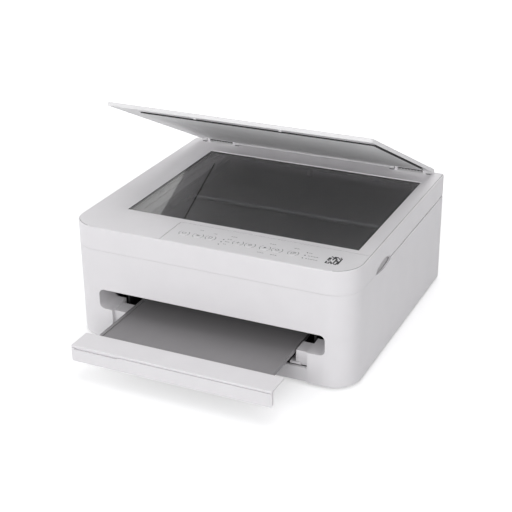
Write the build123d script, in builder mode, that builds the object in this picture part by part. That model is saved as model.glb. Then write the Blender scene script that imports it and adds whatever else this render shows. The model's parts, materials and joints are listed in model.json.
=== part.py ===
"""Ink printer with a flatbed scanner on top, a lifting scanner unit and a hinged document cover."""

import os
from math import cos, pi, radians, sin

from build123d import *

os.makedirs("parts", exist_ok=True)

# Lengths are millimetres. X runs to the right, Y to the rear and Z up.
# Depths are measured from the middle of the case and heights from its lower edge.

# Body
WIDTH = 372.0
DEPTH = 340.0
BODY_HEIGHT = 150.5
FOOT_LIFT = 2.5
FRONT_CORNER_R = 35.0
REAR_CORNER_R = 6.0
WALL = 2.5
BOTTOM_EDGE_R = 2.0
TOP_EDGE_R = 1.1
SEAM_HEIGHT = 120.0
SEAM_GAP = 0.25
LIP_HEIGHT = 2.0
LIP_THICKNESS = 1.0
REAR_POST = 8.0

# Gaps between pieces
FIT = 0.3
RUNNING = 0.06
TRAVEL_GAP = 0.6

# T-shaped mouth in the front
SLOT_X = 2.5
SLOT_WIDTH = 300.0
SLOT_HEIGHT = 26.2
SLOT_BOTTOM = 41.3
SLOT_END_R = 7.0
POCKET_DEPTH = 34.5
POCKET_DRAFT = 2.0
BAY_WIDTH = 261.0
JAMB_BOTTOM = 20.6
REBATE = 6.0
SHELF_DEPTH = 28.0
TAB_REACH = 7.0
TAB_HEIGHT = 3.2
TAB_RISE = 1.6

# Finger grip in the side seam
GRIP_Y = -70.0
GRIP_LENGTH = 52.0
GRIP_RISE = 8.0
GRIP_DIP = 4.5
GRIP_DEPTH = 6.5
GRIP_DRAFT = 32.0

# Output tray
TRAY_PULL = 94.7
TRAY_LENGTH = 164.0
TRAY_WIDTH = 226.0
TRAY_SIDE_GAP = 1.5
TRAY_ROOM = 15.1
FLANGE_DEPTH = 33.0
FLANGE_THICKNESS = 2.4
TRAY_FRONT_HEIGHT = 21.0
TRAY_FRONT_THICKNESS = 4.0
TRAY_PLATE_THICKNESS = 2.0
TRAY_RIM_WIDTH = 4.0
TRAY_RIM_RISE = 1.2
TRAY_RAIL_DEPTH = 4.6
GROOVE_HEIGHT = 1.0
GROOVE_DEPTH = 1.6
NOTCH_LENGTH = 58.0
NOTCH_HEIGHT = 2.6

# Paper cassette
CASSETTE_WIDTH = 250.0
CASSETTE_LENGTH = 304.0
CASSETTE_FLOOR = 3.2
CASSETTE_SHEET = 2.0
CASSETTE_WALL_HEIGHT = 13.8
CASSETTE_FRONT_BOTTOM = 1.6
CASSETTE_FRONT_THICKNESS = 4.0
CASSETTE_FRONT_RECESS = 0.6
CASSETTE_GAP = 0.6
PICKUP_GATE = 44.0
PAPER_WIDTH = 210.0
PAPER_LENGTH = 297.0
GUIDE_LENGTH = 90.0
GUIDE_HEIGHT = 10.0
GUIDE_THICKNESS = 2.0
GUIDE_FOOT = 14.0
PAPER_GAP = 0.5

# Bottom tub and engine platform
FLOOR = 2.5
RUNNER_THICKNESS = 2.5
PLATFORM_BOTTOM = 21.5
PLATFORM_THICKNESS = 2.5
PLATFORM_REAR = 140.0
WING_FRONT = -62.0
WING_REAR = 96.0
WING_HALF_WIDTH = 178.0
CHEEK_X = 131.0
CHEEK_THICKNESS = 3.5
CHEEK_TOP = 61.0
GEAR_PLATE_X = 158.0
TRAY_RUNNER_WIDTH = 9.0

# Feet
FOOT_R = 7.0
FOOT_SEAT = 1.0
FOOT_X = 150.0
FOOT_FRONT_Y = -138.0
FOOT_REAR_Y = 148.0

# Rollers and gears
AXLE_HEIGHT = 55.0
FEED_Y = 50.0
EJECT_Y = -20.0
FEED_R = 5.5
JOURNAL_R = 3.0
PINCH_R = 3.0
PINCH_SHAFT_R = 1.2
PINCH_LENGTH = 28.0
PINCH_ARM = 6.0
PINCH_MARGIN = 7.0
WHEEL_WIDTH = 8.0
WHEEL_PITCH = 38.0
MODULE = 1.0
FEED_TEETH = 32
EJECT_TEETH = 24
PINION_TEETH = 12
GEAR_WIDTH = 5.0
GEAR_GAP = 2.0
BACKLASH = 0.12
PICKUP_R = 10.0
PICKUP_WIDTH = 20.0
PICKUP_Y = 26.0
PICKUP_CLEARANCE = 0.6
ARM_PIVOT_Y = 78.0
ARM_PIVOT_HEIGHT = 40.0
ARM_THICKNESS = 2.5
ARM_EYE_R = 5.5
FEED_MOTOR_R = 12.0
FEED_MOTOR_LENGTH = 22.0
MOTOR_ANGLE = 40.0

# Print carriage
CARRIAGE_WIDTH = 84.0
CARRIAGE_FRONT = -6.0
CARRIAGE_REAR = 45.0
CARRIAGE_BOTTOM = 64.0
CARRIAGE_TOP = 110.0
CARRIAGE_WALL = 1.8
CARRIAGE_X = 132.0
CARTRIDGE_WIDTH = 36.0
NOZZLE_GAP = 1.6
RAIL_WEB_Y = 66.0
RAIL_SHEET = 1.5
RAIL_BOTTOM = 64.0
RAIL_TOP = 106.0
RAIL_FLANGE = 12.0
RAIL_LIP = 6.0
BELT_Y = 56.0
BELT_WIDTH = 6.0
BELT_THICKNESS = 1.2
BELT_X = 160.0
BELT_HEIGHT = 84.0
PULLEY_R = 6.2
CARRIAGE_MOTOR_R = 13.0
CARRIAGE_MOTOR_LENGTH = 30.0

# Scanner unit
SCANNER_FLOOR_GAP = 0.6
SCANNER_FLOOR = 2.0
DECK_THICKNESS = 2.4
DECK_RIM = 1.5
DECK_SEAM = 0.3
RIM_DROP = 0.4
GLASS_LEFT = -139.0
GLASS_RIGHT = 167.0
GLASS_FRONT = -105.0
GLASS_REAR = 124.5
GLASS_THICKNESS = 2.8
GLASS_SINK = 0.4
GLASS_LEDGE = 3.0
GLASS_SKIRT = 2.0
RIDGE_GAP = 1.0
RIDGE_WIDTH = 1.6
RIDGE_HEIGHT = 0.8
PANEL_LEFT = -59.5
PANEL_REAR = -113.5
PANEL_THICKNESS = 1.4
PANEL_GAP = 0.55
SENSOR_WIDTH = 26.0
SENSOR_HEIGHT = 13.0
SENSOR_X = -120.0
SENSOR_SINK = 0.4
SCAN_RAIL_R = 3.0
SCAN_RAIL_Y = 8.0

# Buttons and lights
BUTTON_R = 6.0
BUTTON_Y = -142.0
BUTTON_XS = (-40.0, -21.5, -5.0, 31.0, 46.5, 65.5, 81.0, 101.0)
BUTTON_RISE = 0.4
BUTTON_GAP = 0.25
BUTTON_STEM_R = 2.0
BUTTON_FLANGE = 0.9
BUTTON_TRAVEL = 0.8
LIGHT_R = 0.9
LIGHTS = ((11.3, -140.0), (11.3, -147.0), (11.3, -154.0), (115.6, -134.5), (115.6, -142.0), (115.6, -149.5))
BOARD_THICKNESS = 1.6

# Scanner unit hinge
UNIT_KNUCKLE_R = 3.5
UNIT_PIN_R = 1.5
UNIT_HINGE_X = 135.0
KNUCKLE_WIDTH = 9.0
KNUCKLE_GAP = 0.4
HINGE_DROP = 2.8

# Document cover
COVER_OPEN = 26.4
COVER_WIDTH = 345.8
COVER_LENGTH = 277.0
COVER_EDGE = 5.0
COVER_SKIN = 2.2
COVER_LIFT = 2.0
COVER_CORNER_R = 4.0
COVER_AXIS_Y = 162.0
COVER_AXIS_RISE = 3.6
STOP_XS = (-53.0, 58.0)
STOP_INSET = 6.0
STOP_R = 1.8
PAD_LEFT = -134.5
PAD_RIGHT = 168.0
PAD_REAR = 37.0
PAD_FRONT = 257.0
PAD_SHEET = 1.0
PAD_CLEARANCE = 0.4
PAD_GROOVE = 3.0
FOAM_INSET = 1.5
COVER_PIN_R = 1.5
HOOK_R = 4.6
HOOK_WIDTH = 6.0
HINGE_X = 141.0
HINGE_SPAN = 57.0
HINGE_POST = 4.0
HINGE_POST_GAP = 0.6
NOTCH_DEPTH = 9.0
BEAD_R = 2.6
BEAD_NECK_R = 1.9
BEADS = 8

# Rear sockets
INLET_X = -156.0
INLET_HEIGHT = 24.0
INLET_WIDTH = 22.0
INLET_TALL = 14.0
USB_X = 152.0
USB_HEIGHT = 36.0
USB_SIZE = 12.0
SOCKET_SINK = 0.6
SOCKET_LENGTH = 22.0
SOCKET_HOLLOW = 13.0
SOCKET_CORNER_R = 1.2
SUPPLY_TOP = 56.0

# Worked out from the sizes above
SIDE = WIDTH / 2
FRONT = -DEPTH / 2
REAR = DEPTH / 2
CASE_Y = TRAY_PULL / 2
CASE_Z = FOOT_LIFT
LIP_INSET = WALL + FIT
SLOT_TOP = SLOT_BOTTOM + SLOT_HEIGHT
JAMB_SPACE = TRAY_WIDTH + 2 * TRAY_SIDE_GAP
TRAY_TOP = SLOT_BOTTOM
FLANGE_BOTTOM = TRAY_TOP - FLANGE_THICKNESS
TRAY_BOTTOM = FLANGE_BOTTOM - TRAY_RAIL_DEPTH
TRAY_FACE = FRONT - TRAY_PULL
CASSETTE_FRONT_TOP = TRAY_TOP - TRAY_FRONT_HEIGHT - TRAVEL_GAP
CASSETTE_FACE = FRONT + CASSETTE_FRONT_RECESS
CASSETTE_TOP = CASSETTE_FLOOR + CASSETTE_WALL_HEIGHT
CASSETTE_START = CASSETTE_FACE + CASSETTE_FRONT_THICKNESS
CASSETTE_END = CASSETTE_START + CASSETTE_LENGTH
PLATFORM_TOP = PLATFORM_BOTTOM + PLATFORM_THICKNESS
PRINT_HEIGHT = AXLE_HEIGHT + FEED_R
FEED_GEAR_R = MODULE * FEED_TEETH / 2
EJECT_GEAR_R = MODULE * EJECT_TEETH / 2
IDLER_TEETH = round((FEED_Y - EJECT_Y - FEED_GEAR_R - EJECT_GEAR_R) / MODULE)
IDLER_R = MODULE * IDLER_TEETH / 2
IDLER_Y = FEED_Y - FEED_GEAR_R - IDLER_R
PINION_R = MODULE * PINION_TEETH / 2
GEAR_INNER = GEAR_PLATE_X + CHEEK_THICKNESS + GEAR_GAP
GEAR_OUTER = GEAR_INNER + GEAR_WIDTH
MOTOR_Y = FEED_Y + (FEED_GEAR_R + PINION_R) * cos(radians(MOTOR_ANGLE))
MOTOR_HEIGHT = AXLE_HEIGHT - (FEED_GEAR_R + PINION_R) * sin(radians(MOTOR_ANGLE))
PICKUP_HEIGHT = CASSETTE_FLOOR + CASSETTE_SHEET + PICKUP_CLEARANCE + PICKUP_R
SCANNER_BOTTOM = SEAM_HEIGHT + SEAM_GAP
SCANNER_FLOOR_BOTTOM = SEAM_HEIGHT + LIP_HEIGHT + SCANNER_FLOOR_GAP
SCANNER_FLOOR_TOP = SCANNER_FLOOR_BOTTOM + SCANNER_FLOOR
DECK = BODY_HEIGHT
DECK_UNDER = DECK - DECK_THICKNESS
GLASS_TOP = DECK - GLASS_SINK
GLASS_UNDER = GLASS_TOP - GLASS_THICKNESS
PANEL_UNDER = DECK - PANEL_THICKNESS
UNIT_AXIS_Y = REAR - UNIT_KNUCKLE_R
UNIT_AXIS_HEIGHT = SEAM_HEIGHT + SEAM_GAP / 2
COVER_AXIS_HEIGHT = DECK + COVER_AXIS_RISE
COVER_UNDER = COVER_LIFT - COVER_AXIS_RISE
COVER_TOP = COVER_UNDER + COVER_EDGE
COVER_CEILING = COVER_TOP - COVER_SKIN
PAD_UNDER = PAD_CLEARANCE - COVER_AXIS_RISE
PAD_TOP = PAD_UNDER + PAD_SHEET


def level(height):
    """Horizontal plane over the middle of the case."""
    return Plane(origin=(0, CASE_Y, CASE_Z + height), x_dir=(1, 0, 0), z_dir=(0, 0, 1))


def facing(depth):
    """Upright plane across the case, seen from the front."""
    return Plane(origin=(0, CASE_Y + depth, CASE_Z), x_dir=(1, 0, 0), z_dir=(0, -1, 0))


def beside(side):
    """Upright plane along the case, seen from the right."""
    return Plane(origin=(side, CASE_Y, CASE_Z), x_dir=(0, 1, 0), z_dir=(1, 0, 0))


def on_cover(rise):
    """Plane parallel to the open document cover, over its hinge axis, with its front towards -Y."""
    tilt = radians(COVER_OPEN)
    up = Vector(0, sin(tilt), cos(tilt))
    axis_point = Vector(0, CASE_Y + COVER_AXIS_Y, CASE_Z + COVER_AXIS_HEIGHT)
    return Plane(origin=axis_point + up * rise, x_dir=(1, 0, 0), z_dir=up)


def save(piece, name):
    """Labels a finished piece and writes its file."""
    piece.part.label = name
    export_step(piece.part, f"parts/{name}.step")


def both(side, inner, outer):
    """Pair of coordinates on one side of the middle, in rising order."""
    return tuple(sorted((side * inner, side * outer)))


def body_plan(inset):
    """Outline of the body seen from above, moved in by an inset."""
    with BuildSketch() as plan:
        Rectangle(WIDTH - 2 * inset, DEPTH - 2 * inset)
        fillet(plan.vertices().group_by(Axis.Y)[0], FRONT_CORNER_R - inset)
        fillet(plan.vertices().group_by(Axis.Y)[-1], max(REAR_CORNER_R - inset, FIT))
    return plan.sketch


def slab(height, thickness, inset, mode=Mode.ADD):
    """Layer with the outline of the body."""
    with BuildSketch(level(height)) as layer:
        add(body_plan(inset))
    extrude(layer.sketch, amount=thickness, mode=mode)


def ring(height, thickness, outer, inner, mode=Mode.ADD):
    """Upright wall that follows the outline of the body between two insets."""
    with BuildSketch(level(height)) as band:
        add(body_plan(outer))
        add(body_plan(inner), mode=Mode.SUBTRACT)
    extrude(band.sketch, amount=thickness, mode=mode)


def block(x, y, z, mode=Mode.ADD):
    """Box between pairs of coordinates."""
    with Locations((sum(x) / 2, CASE_Y + sum(y) / 2, CASE_Z + sum(z) / 2)):
        Box(x[1] - x[0], y[1] - y[0], z[1] - z[0], mode=mode)


def rod(x, y, height, radius, mode=Mode.ADD):
    """Round bar across the width."""
    with BuildSketch(beside(x[0])) as section:
        with Locations((y, height)):
            Circle(radius)
    extrude(section.sketch, amount=x[1] - x[0], mode=mode)


def peg(x, y, z, radius, mode=Mode.ADD):
    """Upright round bar."""
    with BuildSketch(level(z[0])) as section:
        with Locations((x, y)):
            Circle(radius)
    extrude(section.sketch, amount=z[1] - z[0], mode=mode)


def spindle(x, y, height, radius, mode=Mode.ADD):
    """Round bar along the depth."""
    with BuildSketch(facing(y[1])) as section:
        with Locations((x, height)):
            Circle(radius)
    extrude(section.sketch, amount=y[1] - y[0], mode=mode)


def bore_and_pad(x, y, height, radius, hole, mode=Mode.ADD):
    """Bearing eye across the width: a round pad with a running hole through it."""
    rod(x, y, height, radius, mode)
    rod((x[0] - FIT, x[1] + FIT), y, height, hole, Mode.SUBTRACT)


def make_case_wrap():
    """Front and both sides in one moulding, with the T-shaped mouth and a finger pocket at both its ends."""
    mouth = (SLOT_X - SLOT_WIDTH / 2, SLOT_X + SLOT_WIDTH / 2)
    slot_middle = SLOT_BOTTOM + SLOT_HEIGHT / 2
    shelf_end = FRONT + SHELF_DEPTH
    pocket_end = FRONT + POCKET_DEPTH
    bay = (-BAY_WIDTH / 2, BAY_WIDTH / 2)
    with BuildPart() as wrap:
        slab(0, SEAM_HEIGHT, 0)
        fillet(wrap.edges().group_by(Axis.Z)[0], BOTTOM_EDGE_R)
        slab(0, SEAM_HEIGHT, WALL, Mode.SUBTRACT)
        ring(SEAM_HEIGHT - LIP_HEIGHT, LIP_HEIGHT, WALL, LIP_INSET + LIP_THICKNESS)
        ring(SEAM_HEIGHT, LIP_HEIGHT, LIP_INSET, LIP_INSET + LIP_THICKNESS)
        # Blocks behind the mouth that carry the shelf and jambs, and run further back round the pockets
        around = (JAMB_BOTTOM, SLOT_TOP + WALL)
        outer = (mouth[0] - WALL, mouth[1] + WALL)
        block(outer, (FRONT + WALL / 2, shelf_end), around)
        for across in ((outer[0], bay[0]), (bay[1], outer[1])):
            block(across, (shelf_end - WALL, pocket_end), around)
        block((-JAMB_SPACE / 2, JAMB_SPACE / 2), (FRONT - WALL, shelf_end + WALL), (-WALL, SLOT_TOP), Mode.SUBTRACT)
        with BuildSketch(facing(FRONT)) as opening:
            with Locations((SLOT_X, slot_middle)):
                RectangleRounded(SLOT_WIDTH, SLOT_HEIGHT, SLOT_END_R)
        extrude(opening.sketch, amount=-(POCKET_DEPTH + WALL), taper=POCKET_DRAFT, mode=Mode.SUBTRACT)
        # Lower bay for the cassette and tray fronts, and the shelf that the tray flange passes over
        shelf = FLANGE_BOTTOM - FIT
        block(bay, (FRONT - WALL, FRONT + REBATE), (-WALL, slot_middle), Mode.SUBTRACT)
        block(bay, (FRONT - WALL, shelf_end + WALL), (shelf, slot_middle), Mode.SUBTRACT)
        # Small stop at the foot of the right jamb, with a dimple in its face
        tab_face = FRONT + REBATE - TAB_RISE
        tab = (JAMB_SPACE / 2 - TAB_REACH, JAMB_SPACE / 2 + TAB_REACH)
        block(tab, (tab_face, shelf_end - WALL), (JAMB_BOTTOM, JAMB_BOTTOM + TAB_HEIGHT))
        spindle(JAMB_SPACE / 2, (tab_face - WALL, tab_face + 1), JAMB_BOTTOM + TAB_HEIGHT / 2, 0.9, Mode.SUBTRACT)
        # Open back between the two rear corner posts
        back = (REAR_POST - SIDE, SIDE - REAR_POST)
        block(back, (REAR - REAR_POST, REAR + WALL), (-WALL, SEAM_HEIGHT + 2 * LIP_HEIGHT), Mode.SUBTRACT)
        # The seam steps down behind the hinge axis of the scanner unit
        step = (REAR - UNIT_KNUCKLE_R - FIT, REAR + WALL)
        block((-SIDE - WALL, SIDE + WALL), step, (SEAM_HEIGHT - HINGE_DROP, SEAM_HEIGHT + 2 * LIP_HEIGHT), Mode.SUBTRACT)
        for side in (-1, 1):
            reach = (GRIP_Y - GRIP_LENGTH / 2 - WALL, GRIP_Y + GRIP_LENGTH / 2 + WALL)
            lip = (SEAM_HEIGHT - 2 * LIP_HEIGHT, SEAM_HEIGHT + 2 * LIP_HEIGHT)
            block(both(side, SIDE - 3 * WALL, SIDE - WALL), reach, lip, Mode.SUBTRACT)
            cut_grip(side, GRIP_DIP, 0)
    save(wrap, "case_wrap")


def cut_grip(side, height, draft):
    """Finger grip in the side seam: half an ellipse above it in one piece, or below it in the other."""
    with BuildSketch(beside(side * SIDE)) as mouth:
        with Locations((GRIP_Y, SEAM_HEIGHT)):
            Ellipse(GRIP_LENGTH / 2, height)
    extrude(mouth.sketch, amount=-side * GRIP_DEPTH, taper=draft, mode=Mode.SUBTRACT)


def make_rear_cover():
    """Back wall between the corner posts, with the socket openings and the lower hinge knuckles."""
    outer = SIDE - REAR_POST - FIT
    inner = SIDE - REAR_CORNER_R - FIT
    wall = (REAR - WALL, REAR)
    flange = (REAR - 2 * WALL - FIT, REAR - WALL - FIT)
    with BuildPart() as cover:
        block((-outer, outer), wall, (0, SEAM_HEIGHT - HINGE_DROP))
        block((-outer, outer), (flange[0], wall[1]), (FLOOR + FIT, SEAM_HEIGHT - HINGE_DROP))
        block((-inner, inner), flange, (FLOOR + FIT, SEAM_HEIGHT - FIT))
        for centre in (-UNIT_HINGE_X, UNIT_HINGE_X):
            middle = (centre - KNUCKLE_WIDTH / 2 - KNUCKLE_GAP, centre + KNUCKLE_WIDTH / 2 + KNUCKLE_GAP)
            for start in (centre - 1.5 * KNUCKLE_WIDTH - KNUCKLE_GAP, centre + KNUCKLE_WIDTH / 2 + KNUCKLE_GAP):
                across = (start, start + KNUCKLE_WIDTH)
                block(across, (UNIT_AXIS_Y - UNIT_KNUCKLE_R, REAR), (UNIT_AXIS_HEIGHT - 2 * HINGE_DROP, UNIT_AXIS_HEIGHT))
                rod(across, UNIT_AXIS_Y, UNIT_AXIS_HEIGHT, UNIT_KNUCKLE_R)
            swing = UNIT_KNUCKLE_R + 2 * KNUCKLE_GAP
            rod(middle, UNIT_AXIS_Y, UNIT_AXIS_HEIGHT, swing, Mode.SUBTRACT)
            block(middle, (UNIT_AXIS_Y - swing, REAR + WALL), (UNIT_AXIS_HEIGHT - FIT, SEAM_HEIGHT + WALL), Mode.SUBTRACT)
            span = (centre - 2 * KNUCKLE_WIDTH, centre + 2 * KNUCKLE_WIDTH)
            rod(span, UNIT_AXIS_Y, UNIT_AXIS_HEIGHT, UNIT_PIN_R + RUNNING, Mode.SUBTRACT)
        cut_socket(INLET_X, INLET_HEIGHT, INLET_WIDTH, INLET_TALL)
        cut_socket(USB_X, USB_HEIGHT, USB_SIZE, USB_SIZE)
    save(cover, "rear_cover")


def cut_socket(x, height, width, tall):
    """Rounded opening through the back wall with room round a socket."""
    with BuildSketch(facing(REAR + WALL)) as hole:
        with Locations((x, height)):
            RectangleRounded(width + 2 * FIT, tall + 2 * FIT, SOCKET_CORNER_R + FIT)
    extrude(hole.sketch, amount=4 * WALL, mode=Mode.SUBTRACT)


def make_base_frame():
    """Bottom tub with the cassette runners, stiffening ribs and sockets for the feet."""
    runner = CASSETTE_WIDTH / 2 + CASSETTE_GAP
    runner_outer = runner + RUNNER_THICKNESS
    bay = BAY_WIDTH / 2 + FIT
    inset = WALL + FIT
    post = 6.0
    rib_top = 10.0
    with BuildPart() as base:
        slab(0, FLOOR, inset)
        block((-bay, bay), (FRONT - WALL, CASSETTE_START + FIT), (-WALL, FLOOR + WALL), Mode.SUBTRACT)
        for side in (-1, 1):
            runner_depth = (FRONT + SHELF_DEPTH + FIT, PLATFORM_REAR)
            block(both(side, runner, runner_outer), runner_depth, (0, PLATFORM_BOTTOM))
            for depth in (WING_FRONT, WING_REAR - post):
                block(both(side, WING_HALF_WIDTH - post, WING_HALF_WIDTH), (depth, depth + post), (0, PLATFORM_BOTTOM))
            for depth in (-120.0, -90.0, 0.0, 30.0):
                block(both(side, runner_outer, SIDE - inset), (depth, depth + WALL), (0, rib_top))
        block((-runner, runner), (CASSETTE_END + FIT, CASSETTE_END + FIT + RUNNER_THICKNESS), (0, CASSETTE_TOP / 2))
        for x, y in foot_places():
            peg(x, y, (-WALL, FOOT_SEAT), FOOT_R + FIT, Mode.SUBTRACT)
            peg(x, y, (FOOT_SEAT, FLOOR), FOOT_R + FIT)
    save(base, "base_frame")


def foot_places():
    """Centres of the four feet."""
    return [(x, y) for y in (FOOT_FRONT_Y, FOOT_REAR_Y) for x in (-FOOT_X, FOOT_X)]


def make_feet():
    """Four rubber feet, each a stepped disc with a softened lower edge."""
    with BuildPart() as feet:
        for x, y in foot_places():
            peg(x, y, (-FOOT_LIFT, FOOT_SEAT), FOOT_R)
        chamfer(feet.edges().group_by(Axis.Z)[0], 0.6)
    save(feet, "rubber_feet")


def make_cassette():
    """Open paper tray with a gate in its rear wall for the pick-up roller."""
    half = CASSETTE_WIDTH / 2
    with BuildPart() as cassette:
        block((-half, half), (CASSETTE_START, CASSETTE_END), (CASSETTE_FLOOR, CASSETTE_TOP))
        inside = (CASSETTE_START + CASSETTE_SHEET, CASSETTE_END - CASSETTE_SHEET)
        hollow = half - CASSETTE_SHEET
        floor_top = CASSETTE_FLOOR + CASSETTE_SHEET
        block((-hollow, hollow), inside, (floor_top, CASSETTE_TOP + WALL), Mode.SUBTRACT)
        gate = (-PICKUP_GATE / 2, PICKUP_GATE / 2)
        block(gate, (CASSETTE_END - 2 * CASSETTE_SHEET, CASSETTE_END + WALL), (floor_top, CASSETTE_TOP + WALL), Mode.SUBTRACT)
        # Ramp that lifts the sheets off the floor at the rear, left and right of the gate
        for side in (-1, 1):
            with BuildSketch(beside(side * (PICKUP_GATE / 2 + CASSETTE_SHEET))) as ramp:
                with BuildLine():
                    Polyline(
                        (inside[1], floor_top),
                        (inside[1] - CASSETTE_WALL_HEIGHT / 3, floor_top),
                        (inside[1], CASSETTE_TOP),
                        close=True,
                    )
                make_face()
            extrude(ramp.sketch, amount=side * (PAPER_WIDTH / 2 - PICKUP_GATE))
    save(cassette, "paper_cassette")


def make_cassette_front():
    """Front plate of the cassette, with a finger hold under its lower edge."""
    half = BAY_WIDTH / 2 - FIT
    face = (CASSETTE_FACE, CASSETTE_START)
    hold = 44.0
    with BuildPart() as front:
        block((-half, half), face, (CASSETTE_FRONT_BOTTOM, CASSETTE_FRONT_TOP))
        fillet(front.edges().filter_by(Axis.X).sort_by(Axis.Y)[:2], 0.8)
        middle = (CASSETTE_FRONT_BOTTOM - WALL, CASSETTE_FRONT_BOTTOM + 2 * WALL)
        block((-hold, hold), (CASSETTE_FACE - WALL, CASSETTE_FACE + WALL), middle, Mode.SUBTRACT)
    save(front, "cassette_front")


def make_side_guides():
    """Two paper guides that close in from both sides."""
    floor_top = CASSETTE_FLOOR + CASSETTE_SHEET + FIT
    start = CASSETTE_START + 96.0
    for side, name in ((-1, "paper_guide_left"), (1, "paper_guide_right")):
        face = PAPER_WIDTH / 2 + PAPER_GAP
        with BuildPart() as guide:
            length = (start, start + GUIDE_LENGTH)
            block(both(side, face, face + GUIDE_THICKNESS), length, (floor_top, floor_top + GUIDE_HEIGHT))
            block(both(side, face - GUIDE_FOOT, face + GUIDE_THICKNESS), length, (floor_top, floor_top + 1.0))
            block(both(side, face, face + GUIDE_FOOT), (start, start + GUIDE_THICKNESS), (floor_top, floor_top + GUIDE_HEIGHT / 2))
            fillet(guide.edges().filter_by(Axis.X).group_by(Axis.Z)[-1], 0.9)
        save(guide, name)


def make_front_guide():
    """Guide that pushes the sheets home from the front."""
    floor_top = CASSETTE_FLOOR + CASSETTE_SHEET + FIT
    paper_front = CASSETTE_END - CASSETTE_SHEET - PAPER_LENGTH
    half = 30.0
    with BuildPart() as guide:
        depth = (paper_front - PAPER_GAP - GUIDE_THICKNESS, paper_front - PAPER_GAP)
        block((-half, half), depth, (floor_top, floor_top + GUIDE_HEIGHT))
        fillet(guide.edges().filter_by(Axis.Y).group_by(Axis.Z)[-1], 4.0)
        block((-half / 2, half / 2), (depth[0], depth[1] + 2 * GUIDE_FOOT), (floor_top, floor_top + 1.0))
    save(guide, "paper_guide_front")


def make_output_tray():
    """Dark sliding plate with rims along its sides, rails below them and lengthwise ribs."""
    half = TRAY_WIDTH / 2
    start = TRAY_FACE + TRAY_FRONT_THICKNESS
    end = TRAY_FACE + TRAY_LENGTH
    plate_top = FLANGE_BOTTOM - FIT
    plate_under = plate_top - TRAY_PLATE_THICKNESS
    with BuildPart() as tray:
        block((-half, half), (start, end), (plate_under, plate_top))
        flange_end = TRAY_FACE + FLANGE_DEPTH + FIT
        for side in (-1, 1):
            rim = both(side, half - TRAY_RIM_WIDTH, half)
            block(rim, (flange_end, end), (plate_under, plate_top + TRAY_RIM_RISE))
            block(both(side, half - TRAY_RIM_WIDTH / 2, half), (start, end), (TRAY_BOTTOM, plate_top))
        for x in range(-80, 81, 40):
            block((x - 0.6, x + 0.6), (start, end), (plate_under - 1.2, plate_top))
        # Shallow hollow towards the rear edge, where a thumb takes the sheets
        with BuildSketch(level(plate_top)) as thumb:
            with Locations((0, end)):
                Ellipse(30, 12)
        extrude(thumb.sketch, amount=-3 * TRAY_PLATE_THICKNESS, mode=Mode.SUBTRACT)
    save(tray, "output_tray")


def make_tray_front():
    """White front of the output tray: upright plate, flange behind it and a pull groove."""
    half = BAY_WIDTH / 2 - TRAY_SIDE_GAP
    bottom = TRAY_TOP - TRAY_FRONT_HEIGHT
    with BuildPart() as front:
        block((-half, half), (TRAY_FACE, TRAY_FACE + TRAY_FRONT_THICKNESS), (bottom, TRAY_TOP))
        fillet(front.edges().filter_by(Axis.Y).group_by(Axis.Z)[0], 3.0)
        block((-half, half), (TRAY_FACE, TRAY_FACE + FLANGE_DEPTH), (FLANGE_BOTTOM, TRAY_TOP))
        fillet(front.edges().filter_by(Axis.X).group_by(Axis.Z)[-1].sort_by(Axis.Y)[0], 0.8)
        groove_top = FLANGE_BOTTOM - FIT
        groove = (TRAY_FACE - WALL, TRAY_FACE + GROOVE_DEPTH)
        block((-SIDE, SIDE), groove, (groove_top - GROOVE_HEIGHT, groove_top), Mode.SUBTRACT)
        notch = (-half + TRAY_FRONT_THICKNESS, -half + TRAY_FRONT_THICKNESS + NOTCH_LENGTH)
        block(notch, (groove[0], groove[1] + 1.0), (groove_top - NOTCH_HEIGHT, groove_top), Mode.SUBTRACT)
    save(front, "output_tray_front")


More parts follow.
